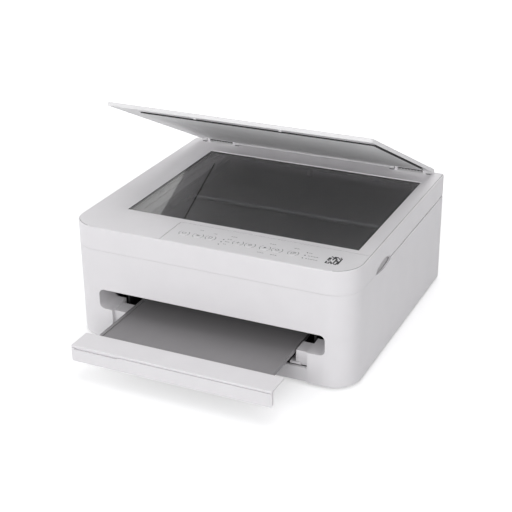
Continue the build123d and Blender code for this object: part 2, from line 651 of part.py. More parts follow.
def make_engine_frame():
    """Platform over the cassette with the roller cheeks, tray runners and pick-up arm bearings."""
    half = CASSETTE_WIDTH / 2 + CASSETTE_GAP + RUNNER_THICKNESS
    plate = (PLATFORM_BOTTOM, PLATFORM_TOP)
    front = FRONT + SHELF_DEPTH + FIT
    with BuildPart() as frame:
        with BuildSketch(level(PLATFORM_BOTTOM)) as plan:
            with Locations((0, (front + PLATFORM_REAR) / 2)):
                Rectangle(2 * half, PLATFORM_REAR - front)
            with Locations((0, (WING_FRONT + WING_REAR) / 2)):
                Rectangle(2 * WING_HALF_WIDTH, WING_REAR - WING_FRONT)
        extrude(plan.sketch, amount=PLATFORM_THICKNESS)
        # Hole that the pick-up arm swings through
        hole = (PICKUP_Y - PICKUP_R - 4 * WALL, ARM_PIVOT_Y - 2 * WALL)
        arm_half = PICKUP_WIDTH / 2 + ARM_THICKNESS + 2 * TRAVEL_GAP
        block((-arm_half, arm_half), hole, (plate[0] - WALL, plate[1] + WALL), Mode.SUBTRACT)
        for side in (-1, 1):
            rail = both(side, TRAY_WIDTH / 2 - TRAY_RUNNER_WIDTH, TRAY_WIDTH / 2 + TRAVEL_GAP)
            block(rail, (front, EJECT_Y), (PLATFORM_BOTTOM, TRAY_BOTTOM - FIT))
            add_cheek(both(side, CHEEK_X, CHEEK_X + CHEEK_THICKNESS))
            lug = both(side, arm_half, arm_half + 2 * ARM_THICKNESS)
            block(lug, (ARM_PIVOT_Y - 5, ARM_PIVOT_Y + 5), (PLATFORM_TOP - WALL / 2, ARM_PIVOT_HEIGHT))
            bore_and_pad(lug, ARM_PIVOT_Y, ARM_PIVOT_HEIGHT, 5, JOURNAL_R + RUNNING)
        # Gear plate outside the carriage's travel, with the idler stub and the hole for the feed motor shaft
        gear_plate = (-GEAR_PLATE_X - CHEEK_THICKNESS, -GEAR_PLATE_X)
        add_cheek(gear_plate)
        rod((-GEAR_OUTER, -GEAR_PLATE_X), IDLER_Y, AXLE_HEIGHT, JOURNAL_R)
        rod(gear_plate, MOTOR_Y, MOTOR_HEIGHT, JOURNAL_R + FIT, Mode.SUBTRACT)
    save(frame, "engine_frame")


def add_cheek(across):
    """Upright plate on the platform with bearings for the feed and eject shafts."""
    foot = PLATFORM_TOP - PLATFORM_THICKNESS / 2
    with BuildSketch(beside(across[0])) as outline:
        with BuildLine():
            Polyline(
                (EJECT_Y - 22, foot),
                (FEED_Y + 44, foot),
                (FEED_Y + 26, CHEEK_TOP),
                (EJECT_Y - 10, CHEEK_TOP),
                close=True,
            )
        make_face()
        with Locations((FEED_Y, AXLE_HEIGHT), (EJECT_Y, AXLE_HEIGHT)):
            Circle(JOURNAL_R + RUNNING, mode=Mode.SUBTRACT)
    extrude(outline.sketch, amount=across[1] - across[0])


def make_exit_guide():
    """Tunnel over the output tray that sheets leave through."""
    outer = TRAY_WIDTH / 2 + TRAY_ROOM
    depth = (FRONT + POCKET_DEPTH + FIT, EJECT_Y - 3 * FEED_R)
    roof = (SLOT_TOP + WALL, SLOT_TOP + 2 * WALL)
    rib = 1.6
    with BuildPart() as guide:
        block((-outer, outer), depth, roof)
        for side in (-1, 1):
            block(both(side, outer - WALL, outer), depth, (PLATFORM_TOP, roof[1]))
        for x in range(-100, 101, 25):
            with BuildSketch(beside(x - rib / 2)) as fin:
                with BuildLine():
                    Polyline(
                        (depth[0], roof[0] + WALL / 2),
                        (depth[1], roof[0] + WALL / 2),
                        (depth[1], roof[0] - 2 * WALL),
                        (depth[0], roof[0] - WALL / 2),
                        close=True,
                    )
                make_face()
            extrude(fin.sketch, amount=rib)
    save(guide, "exit_guide")


def make_platen():
    """Ribbed bed under the print head, on four legs."""
    half = PAPER_WIDTH / 2 + 7
    depth = (EJECT_Y + 2 * FEED_R - 2, FEED_Y - FEED_R - 2)
    top = PRINT_HEIGHT - FIT
    bed = top - 3.0
    spaces = 14
    with BuildPart() as platen:
        block((-half, half), depth, (bed - 2.5, bed))
        for rib in range(spaces + 1):
            x = PAPER_WIDTH * (rib / spaces - 0.5)
            block((x - 0.8, x + 0.8), (depth[0] + 2, depth[1] - 2), (bed - 1, top))
        for side in (-1, 1):
            for y in (depth[0] + 14, depth[1] - 8):
                block(both(side, half - 8, half), (y, y + 6), (PLATFORM_TOP, bed))
    save(platen, "platen")


def make_turn_guide():
    """Curved guide at the rear that turns the sheets up and over to the feed roller."""
    centre_height = 34.0
    inner = PRINT_HEIGHT - centre_height
    thickness = 2.2
    rib_rise = 3.0
    rib_width = 1.8
    centre_y = REAR - 2 * WALL - 2 * FIT - inner - thickness - rib_rise
    half = PAPER_WIDTH / 2 + 5
    start = -58.0
    end_y = RAIL_WEB_Y + RAIL_SHEET + FIT
    with BuildPart() as guide:
        with BuildSketch(beside(-half)) as section:
            with BuildLine():
                turn_profile(centre_y, centre_height, inner, thickness, start, end_y)
            make_face()
        extrude(amount=2 * half)
        for place in range(-2, 3):
            x = place * (half - 10) / 2
            with BuildSketch(beside(x - rib_width / 2)) as rib:
                with BuildLine():
                    turn_profile(centre_y, centre_height, inner, thickness + rib_rise, start, end_y)
                make_face()
            extrude(amount=rib_width)
    save(guide, "turn_guide")


def turn_profile(centre_y, centre_height, inner, thickness, start, end_y):
    """Closed outline of a band that runs from below, round the rear and forwards over the top."""
    outer = inner + thickness
    first = radians(start)
    centre = (centre_y, centre_height)
    low_in = (centre_y + inner * cos(first), centre_height + inner * sin(first))
    low_out = (centre_y + outer * cos(first), centre_height + outer * sin(first))
    CenterArc(centre, inner, start, 90 - start)
    Line((centre_y, centre_height + inner), (end_y, centre_height + inner))
    Line((end_y, centre_height + inner), (end_y, centre_height + outer))
    Line((end_y, centre_height + outer), (centre_y, centre_height + outer))
    CenterArc(centre, outer, start, 90 - start)
    Line(low_out, low_in)


def gear_outline(teeth, turn):
    """Spur gear outline about its own centre, with straight-sided teeth slimmed by the backlash."""
    pitch = MODULE * teeth / 2
    step = 2 * pi / teeth
    root, tip = pitch - 1.25 * MODULE, pitch + 0.9 * MODULE
    points = []
    for tooth in range(teeth):
        middle = radians(turn) + tooth * step
        for radius, share in ((root, -0.36), (pitch, -0.25), (tip, -0.12), (tip, 0.12), (pitch, 0.25), (root, 0.36)):
            slim = BACKLASH / 2 / radius
            angle = middle + share * step - (slim if share > 0 else -slim)
            points.append((radius * cos(angle), radius * sin(angle)))
    with BuildSketch() as outline:
        with BuildLine():
            Polyline(*points, close=True)
        make_face()
    return outline.sketch


def make_gear(name, teeth, y, height, hole, turn, hub=0.0):
    """Spur gear on the left of the engine, with a web recess when it is large."""
    with BuildPart() as gear:
        with BuildSketch(beside(-GEAR_OUTER)) as face:
            with Locations((y, height)):
                add(gear_outline(teeth, turn))
        extrude(face.sketch, amount=GEAR_WIDTH)
        if hub:
            web = MODULE * teeth / 2 - 3 * MODULE
            with BuildSketch(beside(-GEAR_OUTER)) as recess:
                with Locations((y, height)):
                    Circle(web)
                    Circle(hub, mode=Mode.SUBTRACT)
            extrude(recess.sketch, amount=GEAR_WIDTH / 3, mode=Mode.SUBTRACT)
        rod((-GEAR_OUTER, -GEAR_INNER), y, height, hole, Mode.SUBTRACT)
    save(gear, name)


def make_gears():
    """Train from the motor pinion to the feed roller and, through the idler, to the eject roller."""
    feed_step = 360 / FEED_TEETH
    idler_step = 360 / IDLER_TEETH
    # A tooth of the feed gear points forwards, so the idler turns a gap to it
    make_gear("feed_gear", FEED_TEETH, FEED_Y, AXLE_HEIGHT, JOURNAL_R, 180, hub=6)
    make_gear("idler_gear", IDLER_TEETH, IDLER_Y, AXLE_HEIGHT, JOURNAL_R + RUNNING, idler_step / 2, hub=6)
    # The eject gear is turned to mesh with the far side of the idler
    idler_phase = ((180 - idler_step / 2) % idler_step) / idler_step
    eject_turn = (idler_phase - 0.5) * (360 / EJECT_TEETH)
    make_gear("eject_gear", EJECT_TEETH, EJECT_Y, AXLE_HEIGHT, JOURNAL_R, eject_turn, hub=5)
    feed_phase = ((-MOTOR_ANGLE - 180) % feed_step) / feed_step
    pinion_step = 360 / PINION_TEETH
    pinion_turn = 180 - MOTOR_ANGLE + (feed_phase - 0.5) * pinion_step
    with BuildPart() as pinion:
        with BuildSketch(beside(-GEAR_OUTER)) as face:
            with Locations((MOTOR_Y, MOTOR_HEIGHT)):
                add(gear_outline(PINION_TEETH, pinion_turn))
        extrude(face.sketch, amount=GEAR_WIDTH)
        shaft_end = -GEAR_PLATE_X + FEED_MOTOR_LENGTH / 2
        rod((-GEAR_OUTER, shaft_end), MOTOR_Y, MOTOR_HEIGHT, JOURNAL_R - 1)
    save(pinion, "motor_pinion")


def make_feed_roller():
    """Long feed roller with journals at its ends."""
    with BuildPart() as roller:
        rod((-CHEEK_X + 1, CHEEK_X - 1), FEED_Y, AXLE_HEIGHT, FEED_R)
        rod((-GEAR_OUTER, CHEEK_X + CHEEK_THICKNESS + 1), FEED_Y, AXLE_HEIGHT, JOURNAL_R)
    save(roller, "feed_roller")


def make_pinch_rollers():
    """Spring-loaded row of small rollers above the feed roller, on one shaft."""
    height = PRINT_HEIGHT + PINCH_R + FIT
    half = PAPER_WIDTH / 2 + PINCH_MARGIN
    with BuildPart() as row:
        rod((-half, half), FEED_Y, height, PINCH_SHAFT_R)
        for x in [(place - 1.5) * pinch_pitch() for place in range(4)]:
            rod((x - PINCH_LENGTH / 2, x + PINCH_LENGTH / 2), FEED_Y, height, PINCH_R)
    save(row, "pinch_rollers")


def pinch_pitch():
    """Distance between two arms of the pinch holder."""
    return (PAPER_WIDTH + PINCH_ARM) / 4


def make_pinch_holder():
    """Arms that hold the pinch roller shaft down from the rail."""
    height = PRINT_HEIGHT + PINCH_R + FIT
    half = 2 * pinch_pitch() + PINCH_ARM / 2
    with BuildPart() as holder:
        for x in [place * pinch_pitch() for place in range(-2, 3)]:
            arm = (x - PINCH_ARM / 2, x + PINCH_ARM / 2)
            with BuildSketch(beside(arm[0])) as outline:
                with BuildLine():
                    Polyline(
                        (FEED_Y - 2.6, height - 2.4),
                        (FEED_Y + 2.6, height - 2.4),
                        (RAIL_WEB_Y - FIT, RAIL_BOTTOM + 6),
                        (RAIL_WEB_Y - FIT, RAIL_BOTTOM + 12),
                        (FEED_Y - 2.6, height + 2.4),
                        close=True,
                    )
                make_face()
            extrude(outline.sketch, amount=arm[1] - arm[0])
            rod(arm, FEED_Y, height, PINCH_SHAFT_R + RUNNING, Mode.SUBTRACT)
        block((-half, half), (RAIL_WEB_Y - FIT - 2, RAIL_WEB_Y - FIT), (RAIL_BOTTOM + 6, RAIL_BOTTOM + 12))
    save(holder, "pinch_holder")


def make_eject_roller():
    """Eject shaft with six rubber wheels."""
    with BuildPart() as roller:
        rod((-GEAR_OUTER, CHEEK_X + CHEEK_THICKNESS + 1), EJECT_Y, AXLE_HEIGHT, JOURNAL_R)
        for x in [(place - 2.5) * WHEEL_PITCH for place in range(6)]:
            rod((x - WHEEL_WIDTH / 2, x + WHEEL_WIDTH / 2), EJECT_Y, AXLE_HEIGHT, FEED_R)
    save(roller, "eject_roller")


def make_pickup():
    """Swinging arm and the rubber roller on it that takes a sheet from the cassette."""
    inner = PICKUP_WIDTH / 2 + TRAVEL_GAP
    outer = inner + ARM_THICKNESS
    with BuildPart() as arm:
        for side in (-1, 1):
            plate = both(side, inner, outer)
            with BuildSketch(beside(plate[0])) as link:
                with Locations((PICKUP_Y, PICKUP_HEIGHT), (ARM_PIVOT_Y, ARM_PIVOT_HEIGHT)):
                    Circle(ARM_EYE_R)
                make_hull()
            extrude(amount=ARM_THICKNESS)
        middle_y = (PICKUP_Y + ARM_PIVOT_Y) / 2
        middle_height = (PICKUP_HEIGHT + ARM_PIVOT_HEIGHT) / 2
        rod((-outer, outer), middle_y + 6, middle_height + 3, 2.0)
        rod((-outer, outer), PICKUP_Y, PICKUP_HEIGHT, JOURNAL_R - 1 + RUNNING, Mode.SUBTRACT)
        lug = PICKUP_WIDTH / 2 + ARM_THICKNESS + 2 * TRAVEL_GAP + 2 * ARM_THICKNESS
        rod((-lug, lug), ARM_PIVOT_Y, ARM_PIVOT_HEIGHT, JOURNAL_R)
    save(arm, "pickup_arm")
    with BuildPart() as roller:
        rod((-PICKUP_WIDTH / 2, PICKUP_WIDTH / 2), PICKUP_Y, PICKUP_HEIGHT, PICKUP_R)
        fillet(roller.edges(), 0.8)
        rod((-outer, outer), PICKUP_Y, PICKUP_HEIGHT, JOURNAL_R - 1)
    save(roller, "pickup_roller")


def make_feed_motor():
    """Feed motor between the left cheek and the gear plate, with its two feet."""
    end = -GEAR_PLATE_X + FIT
    with BuildPart() as motor:
        rod((end, end + FEED_MOTOR_LENGTH), MOTOR_Y, MOTOR_HEIGHT, FEED_MOTOR_R)
        fillet(motor.edges().sort_by(Axis.X)[-1], 2.0)
        rod((end, end + FEED_MOTOR_LENGTH / 2 + 1), MOTOR_Y, MOTOR_HEIGHT, JOURNAL_R - 1 + RUNNING, Mode.SUBTRACT)
        for offset in (-FEED_MOTOR_R, FEED_MOTOR_R):
            foot = (MOTOR_Y + offset - 3, MOTOR_Y + offset + 3)
            block((end, end + 2), foot, (PLATFORM_TOP, MOTOR_HEIGHT))
    save(motor, "feed_motor")


def make_chassis_rail():
    """Folded sheet rail that the carriage hangs from, with an upright at each end."""
    end = WING_HALF_WIDTH
    web = (RAIL_WEB_Y, RAIL_WEB_Y + RAIL_SHEET)
    front = RAIL_WEB_Y - RAIL_FLANGE
    with BuildPart() as rail:
        block((-end, end), web, (RAIL_BOTTOM, RAIL_TOP))
        block((-end, end), (front, web[1]), (RAIL_TOP - RAIL_SHEET, RAIL_TOP))
        block((-end, end), (front, front + RAIL_SHEET), (RAIL_TOP - RAIL_LIP, RAIL_TOP))
        for side in (-1, 1):
            upright = both(side, end - RAIL_SHEET, end)
            with BuildSketch(beside(upright[0])) as outline:
                with BuildLine():
                    Polyline(
                        (front, RAIL_TOP),
                        (front, RAIL_BOTTOM),
                        (RAIL_WEB_Y - 20, PLATFORM_TOP),
                        (WING_REAR - 2, PLATFORM_TOP),
                        (web[1] + 10, RAIL_TOP - 8),
                        (web[1], RAIL_TOP),
                        close=True,
                    )
                make_face()
            extrude(outline.sketch, amount=RAIL_SHEET)
        # Row of lightening holes along the web, and the hole for the motor shaft
        with BuildSketch(facing(web[1] + 1)) as holes:
            with Locations((0, RAIL_BOTTOM + 22)):
                with GridLocations(56, 1, 5, 1):
                    SlotOverall(26, 7)
            with Locations((-BELT_X, BELT_HEIGHT)):
                Circle(JOURNAL_R)
        extrude(holes.sketch, amount=3 * RAIL_SHEET, mode=Mode.SUBTRACT)
        spindle(BELT_X, (BELT_Y - BELT_WIDTH / 2 - 1, RAIL_WEB_Y + RAIL_SHEET / 2), BELT_HEIGHT, JOURNAL_R - 1)
    save(rail, "chassis_rail")


def make_carriage():
    """Carriage with two cartridge bays, a rear hook over the rail lip and a belt clamp."""
    left, right = CARRIAGE_X - CARRIAGE_WIDTH / 2, CARRIAGE_X + CARRIAGE_WIDTH / 2
    depth = (CARRIAGE_FRONT, CARRIAGE_REAR)
    rail_front = RAIL_WEB_Y - RAIL_FLANGE
    inside = (CARRIAGE_FRONT + CARRIAGE_WALL, CARRIAGE_REAR - CARRIAGE_WALL)
    with BuildPart() as carriage:
        block((left, right), depth, (CARRIAGE_BOTTOM, CARRIAGE_TOP))
        fillet(carriage.edges().filter_by(Axis.Z).group_by(Axis.Y)[0], 3.0)
        for start in bay_starts():
            bay = (start, start + CARTRIDGE_WIDTH + 2 * FIT)
            block(bay, inside, (CARRIAGE_BOTTOM + CARRIAGE_WALL, CARRIAGE_TOP + WALL), Mode.SUBTRACT)
            nozzle = (start + 8, start + CARTRIDGE_WIDTH - 8)
            block(nozzle, (inside[0] + 6, inside[1] - 14), (CARRIAGE_BOTTOM - WALL, CARRIAGE_TOP), Mode.SUBTRACT)
        # The bays are loaded from the front, over a low sill
        block((left + 6, right - 6), (CARRIAGE_FRONT - WALL, inside[0] + 1), (CARRIAGE_BOTTOM + 14, CARRIAGE_TOP + WALL), Mode.SUBTRACT)
        # Hook over the rail lip
        hook = (CARRIAGE_X - 26, CARRIAGE_X + 26)
        lip_gap = 0.4
        under = RAIL_TOP - RAIL_LIP - lip_gap
        behind = rail_front + RAIL_SHEET + lip_gap
        block(hook, (CARRIAGE_REAR - 1, rail_front - lip_gap), (RAIL_TOP - 2 * RAIL_LIP, CARRIAGE_TOP))
        block(hook, (CARRIAGE_REAR - 1, behind + 2), (RAIL_TOP + lip_gap, CARRIAGE_TOP))
        block(hook, (CARRIAGE_REAR - 1, behind + 2), (RAIL_TOP - 2 * RAIL_LIP, under))
        block(hook, (behind, behind + 2), (under - 1, RAIL_TOP - RAIL_SHEET - lip_gap))
        # Clamp round the upper run of the belt
        run = BELT_HEIGHT + PULLEY_R + FIT
        clamp = (CARRIAGE_X - 7, CARRIAGE_X + 7)
        block(clamp, (CARRIAGE_REAR - 1, BELT_Y + BELT_WIDTH / 2 + 2), (run - 2.5, run + BELT_THICKNESS + 2.5))
        slot = (run - FIT, run + BELT_THICKNESS + FIT)
        block((left, right), (BELT_Y - BELT_WIDTH / 2 - FIT, BELT_Y + BELT_WIDTH / 2 + FIT), slot, Mode.SUBTRACT)
    save(carriage, "print_carriage")


def bay_starts():
    """Left edges of the two cartridge bays."""
    gap = (CARRIAGE_WIDTH - 2 * (CARTRIDGE_WIDTH + 2 * FIT)) / 3
    left = CARRIAGE_X - CARRIAGE_WIDTH / 2
    return (left + gap, left + 2 * gap + CARTRIDGE_WIDTH + 2 * FIT)


def make_cartridges():
    """Two ink cartridges with a stepped front, a top grip and a nozzle plate below."""
    inside = (CARRIAGE_FRONT + CARRIAGE_WALL + FIT, CARRIAGE_REAR - CARRIAGE_WALL - FIT)
    bottom = CARRIAGE_BOTTOM + CARRIAGE_WALL + FIT
    top = CARRIAGE_TOP - 4
    for start, name in zip(bay_starts(), ("black_cartridge", "colour_cartridge")):
        left = start + FIT
        with BuildPart() as cartridge:
            with BuildSketch(beside(left)) as outline:
                with BuildLine():
                    Polyline(
                        (inside[0], bottom),
                        (inside[1], bottom),
                        (inside[1], top),
                        (inside[0] + 16, top),
                        (inside[0] + 10, top - 8),
                        (inside[0], top - 12),
                        close=True,
                    )
                make_face()
            extrude(outline.sketch, amount=CARTRIDGE_WIDTH)
            block((left + 9, left + CARTRIDGE_WIDTH - 9), (inside[0] + 7, inside[1] - 15), (PRINT_HEIGHT + NOZZLE_GAP, bottom + 1))
            block((left + 6, left + CARTRIDGE_WIDTH - 6), (inside[0] + 18, inside[1] - 4), (top - 1.2, top), Mode.SUBTRACT)
        save(cartridge, name)


def make_belt():
    """Drive belt loop round the two pulleys."""
    with BuildPart() as belt:
        with BuildSketch(facing(BELT_Y + BELT_WIDTH / 2)) as loop:
            with Locations((0, BELT_HEIGHT)):
                SlotCenterToCenter(2 * BELT_X, 2 * (PULLEY_R + FIT + BELT_THICKNESS))
                SlotCenterToCenter(2 * BELT_X, 2 * (PULLEY_R + FIT), mode=Mode.SUBTRACT)
        extrude(loop.sketch, amount=BELT_WIDTH)
    save(belt, "carriage_belt")


def make_pulleys():
    """Flanged motor pulley on its shaft, and the belt idler on the stub of the rail."""
    groove = (BELT_Y - BELT_WIDTH / 2 - FIT, BELT_Y + BELT_WIDTH / 2 + FIT)
    flange = PULLEY_R + BELT_THICKNESS + 1
    with BuildPart() as driver:
        spindle(-BELT_X, groove, BELT_HEIGHT, PULLEY_R)
        spindle(-BELT_X, (groove[0] - 1, groove[0]), BELT_HEIGHT, flange)
        spindle(-BELT_X, (groove[1], groove[1] + 1), BELT_HEIGHT, flange)
        spindle(-BELT_X, (groove[0], RAIL_WEB_Y + RAIL_SHEET + CARRIAGE_MOTOR_LENGTH / 2), BELT_HEIGHT, JOURNAL_R - 1)
    save(driver, "motor_pulley")
    with BuildPart() as idler:
        spindle(BELT_X, groove, BELT_HEIGHT, PULLEY_R)
        spindle(BELT_X, (groove[0] - 1, groove[0]), BELT_HEIGHT, flange)
        spindle(BELT_X, (groove[1], groove[1] + 1), BELT_HEIGHT, flange)
        spindle(BELT_X, (groove[0] - 2, groove[1] + 2), BELT_HEIGHT, JOURNAL_R - 1 + RUNNING, Mode.SUBTRACT)
    save(idler, "belt_idler")


def make_carriage_motor():
    """Carriage motor behind the rail, with its end boss."""
    start = RAIL_WEB_Y + RAIL_SHEET
    with BuildPart() as motor:
        spindle(-BELT_X, (start, start + CARRIAGE_MOTOR_LENGTH), BELT_HEIGHT, CARRIAGE_MOTOR_R)
        fillet(motor.edges().sort_by(Axis.Y)[-1], 2.0)
        spindle(-BELT_X, (start + CARRIAGE_MOTOR_LENGTH, start + CARRIAGE_MOTOR_LENGTH + 3), BELT_HEIGHT, 4)
        bore = (start - 1, start + CARRIAGE_MOTOR_LENGTH / 2 + 1)
        spindle(-BELT_X, bore, BELT_HEIGHT, JOURNAL_R - 1 + RUNNING, Mode.SUBTRACT)
    save(motor, "carriage_motor")


def make_maintenance_station():
    """Tub with two caps and a wiper blade under the parked carriage."""
    across = (CHEEK_X + CHEEK_THICKNESS + 3, WING_HALF_WIDTH - 3)
    depth = (CARRIAGE_FRONT, CARRIAGE_REAR - 6)
    top = CARRIAGE_BOTTOM - 10
    with BuildPart() as station:
        block(across, depth, (PLATFORM_TOP, top))
        block((across[0] + 2, across[1] - 2), (depth[0] + 2, depth[1] - 2), (top - 6, top + WALL), Mode.SUBTRACT)
        for x in (across[0] + 6, across[0] + 22):
            block((x, x + 12), (depth[0] + 10, depth[1] - 14), (top - 7, top + 6))
            block((x + 1.5, x + 10.5), (depth[0] + 11.5, depth[1] - 15.5), (top + 4, top + 6), Mode.SUBTRACT)
        block((across[0] + 18.6, across[0] + 20), (depth[0] + 8, depth[1] - 12), (top - 7, top + 7.4))
    save(station, "maintenance_station")


def make_electronics():
    """Main board with its chips and USB socket, and the power supply with the mains inlet."""
    board_x = WING_HALF_WIDTH - 6
    board = (board_x, board_x + BOARD_THICKNESS)
    rear = REAR - 2 * WALL - FIT
    with BuildPart() as main_board:
        block(board, (WING_REAR + 4, rear - FIT), (FLOOR, 84))
        for y, z, width, tall in ((116, 40, 18, 18), (140, 60, 10, 14), (112, 68, 8, 8)):
            block((board[0] - 2, board[0] + 0.5), (y, y + width), (z, z + tall))
        half = USB_SIZE / 2
        block((USB_X, board[0] + 0.5), (REAR - SOCKET_LENGTH, rear - FIT), (USB_HEIGHT - half, USB_HEIGHT + half))
        add_socket(USB_X, USB_HEIGHT, USB_SIZE, USB_SIZE, USB_SIZE - 2, USB_SIZE - 2.1)
        tongue = (REAR - SOCKET_SINK - SOCKET_HOLLOW - 1, REAR - 4)
        block((USB_X - 2.5, USB_X + 2.5), tongue, (USB_HEIGHT - 1.6, USB_HEIGHT + 1.6))
    save(main_board, "main_board")
    with BuildPart() as supply:
        end = REAR - SOCKET_LENGTH
        body = (-WING_HALF_WIDTH, INLET_X + INLET_WIDTH)
        block(body, (WING_REAR + 4, end), (FLOOR, SUPPLY_TOP))
        fillet(supply.edges().filter_by(Axis.Z), 2.0)
        with BuildSketch(level(SUPPLY_TOP)) as vents:
            with Locations((sum(body) / 2, (WING_REAR + 4 + end) / 2)):
                with GridLocations(1, 6, 1, 6):
                    SlotOverall(30, 2)
        extrude(amount=-1.5, mode=Mode.SUBTRACT)
        add_socket(INLET_X, INLET_HEIGHT, INLET_WIDTH, INLET_TALL, INLET_WIDTH - 4, INLET_TALL - 5)
        for x in (INLET_X - 4, INLET_X + 4):
            spindle(x, (end, REAR - SOCKET_SINK - 4), INLET_HEIGHT, 1.2)
    save(supply, "power_supply")


def add_socket(x, height, width, tall, hollow_width, hollow_tall):
    """Socket that ends in the back wall, hollow from the rear for its plug."""
    mouth = REAR - SOCKET_SINK
    with BuildSketch(facing(mouth)) as shell:
        with Locations((x, height)):
            RectangleRounded(width, tall, SOCKET_CORNER_R)
    extrude(shell.sketch, amount=SOCKET_LENGTH - SOCKET_SINK)
    with BuildSketch(facing(mouth)) as cavity:
        with Locations((x, height)):
            RectangleRounded(hollow_width, hollow_tall, SOCKET_CORNER_R)
    extrude(cavity.sketch, amount=SOCKET_HOLLOW, mode=Mode.SUBTRACT)


def make_scanner_case():
    """Tub of the scanner unit: outer band, floor, deck bosses, grips, rail lugs and hinge knuckles."""
    with BuildPart() as case:
        slab(SCANNER_BOTTOM, DECK - RIM_DROP - SCANNER_BOTTOM, 0)
        fillet(case.edges().group_by(Axis.Z)[-1], TOP_EDGE_R)
        slab(SCANNER_BOTTOM, SCANNER_FLOOR_BOTTOM - SCANNER_BOTTOM, WALL, Mode.SUBTRACT)
        slab(SCANNER_FLOOR_TOP, DECK - SCANNER_FLOOR_TOP, WALL, Mode.SUBTRACT)
        slab(DECK_UNDER, DECK, DECK_RIM, Mode.SUBTRACT)
        for x, y in ((-150, -142), (-92, -142), (172, -128), (-150, 150), (0, 150), (150, 150)):
            peg(x, y, (SCANNER_FLOOR_BOTTOM, DECK_UNDER), 4)
            peg(x, y, (DECK_UNDER - 12, DECK_UNDER), 1.4, Mode.SUBTRACT)
        for side in (-1, 1):
            lug = both(side, SIDE - WALL - 5, SIDE - WALL + 1)
            rail = scan_rail_height()
            block(lug, (SCAN_RAIL_Y - 5, SCAN_RAIL_Y + 5), (SCANNER_FLOOR_BOTTOM, rail + 5))
            rod(lug, SCAN_RAIL_Y, rail, SCAN_RAIL_R + RUNNING, Mode.SUBTRACT)
            grip = both(side, SIDE - WALL - GRIP_DEPTH, SIDE - WALL + 1)
            reach = (GRIP_Y - GRIP_LENGTH / 2, GRIP_Y + GRIP_LENGTH / 2)
            block(grip, reach, (SCANNER_BOTTOM, SEAM_HEIGHT + GRIP_RISE + WALL))
            cut_grip(side, GRIP_RISE, GRIP_DRAFT)
        # The lower rear edge is rounded so that it clears the back wall while the unit tips up
        rear_edge = case.edges().filter_by(Axis.X).filter_by_position(Axis.Y, CASE_Y + REAR - 0.1, CASE_Y + REAR + 0.1)
        fillet(rear_edge.sort_by(Axis.Z)[0], WALL - 0.1)
        for centre in (-UNIT_HINGE_X, UNIT_HINGE_X):
            middle = (centre - KNUCKLE_WIDTH / 2, centre + KNUCKLE_WIDTH / 2)
            swing = UNIT_KNUCKLE_R + 2 * KNUCKLE_GAP
            for start in (centre - 1.5 * KNUCKLE_WIDTH - 2 * KNUCKLE_GAP, centre + KNUCKLE_WIDTH / 2):
                across = (start, start + KNUCKLE_WIDTH + 2 * KNUCKLE_GAP)
                rod(across, UNIT_AXIS_Y, UNIT_AXIS_HEIGHT, swing, Mode.SUBTRACT)
                block(across, (UNIT_AXIS_Y, REAR + WALL), (SEAM_HEIGHT - WALL, UNIT_AXIS_HEIGHT + swing), Mode.SUBTRACT)
            rod(middle, UNIT_AXIS_Y, UNIT_AXIS_HEIGHT, UNIT_KNUCKLE_R)
            arm = (UNIT_AXIS_Y - UNIT_KNUCKLE_R, UNIT_AXIS_Y + UNIT_KNUCKLE_R)
            block(middle, arm, (UNIT_AXIS_HEIGHT, SCANNER_FLOOR_TOP))
            span = (centre - 2 * KNUCKLE_WIDTH, centre + 2 * KNUCKLE_WIDTH)
            rod(span, UNIT_AXIS_Y, UNIT_AXIS_HEIGHT, UNIT_PIN_R + RUNNING, Mode.SUBTRACT)
    save(case, "scanner_case")


def scan_rail_height():
    """Height of the guide rail under the sensor bar."""
    return GLASS_UNDER - SENSOR_SINK - SENSOR_HEIGHT - SCAN_RAIL_R - 1.2


def make_unit_pins():
    """Two steel pins of the scanner unit hinge."""
    reach = 1.5 * KNUCKLE_WIDTH
    with BuildPart() as pins:
        for centre in (-UNIT_HINGE_X, UNIT_HINGE_X):
            rod((centre - reach, centre + reach), UNIT_AXIS_Y, UNIT_AXIS_HEIGHT, UNIT_PIN_R)
    save(pins, "unit_hinge_pins")


def panel_region(height, edge, gap):
    """Plan of the operation panel, out to the seam round the deck."""
    with BuildSketch(level(height)) as region:
        add(body_plan(edge))
        left = PANEL_LEFT + gap
        rear = PANEL_REAR - gap
        with Locations(((left + SIDE) / 2, (rear + FRONT) / 2)):
            Rectangle(SIDE - left, rear - FRONT, mode=Mode.INTERSECT)
    return region.sketch


def cut_controls(depth):
    """Holes for the buttons and lights, down from above the deck."""
    for x in BUTTON_XS:
        peg(x, BUTTON_Y, (DECK - depth, DECK + WALL), BUTTON_R + BUTTON_GAP, Mode.SUBTRACT)
    for x, y in LIGHTS:
        peg(x, y, (DECK - depth, DECK + WALL), LIGHT_R + RUNNING, Mode.SUBTRACT)


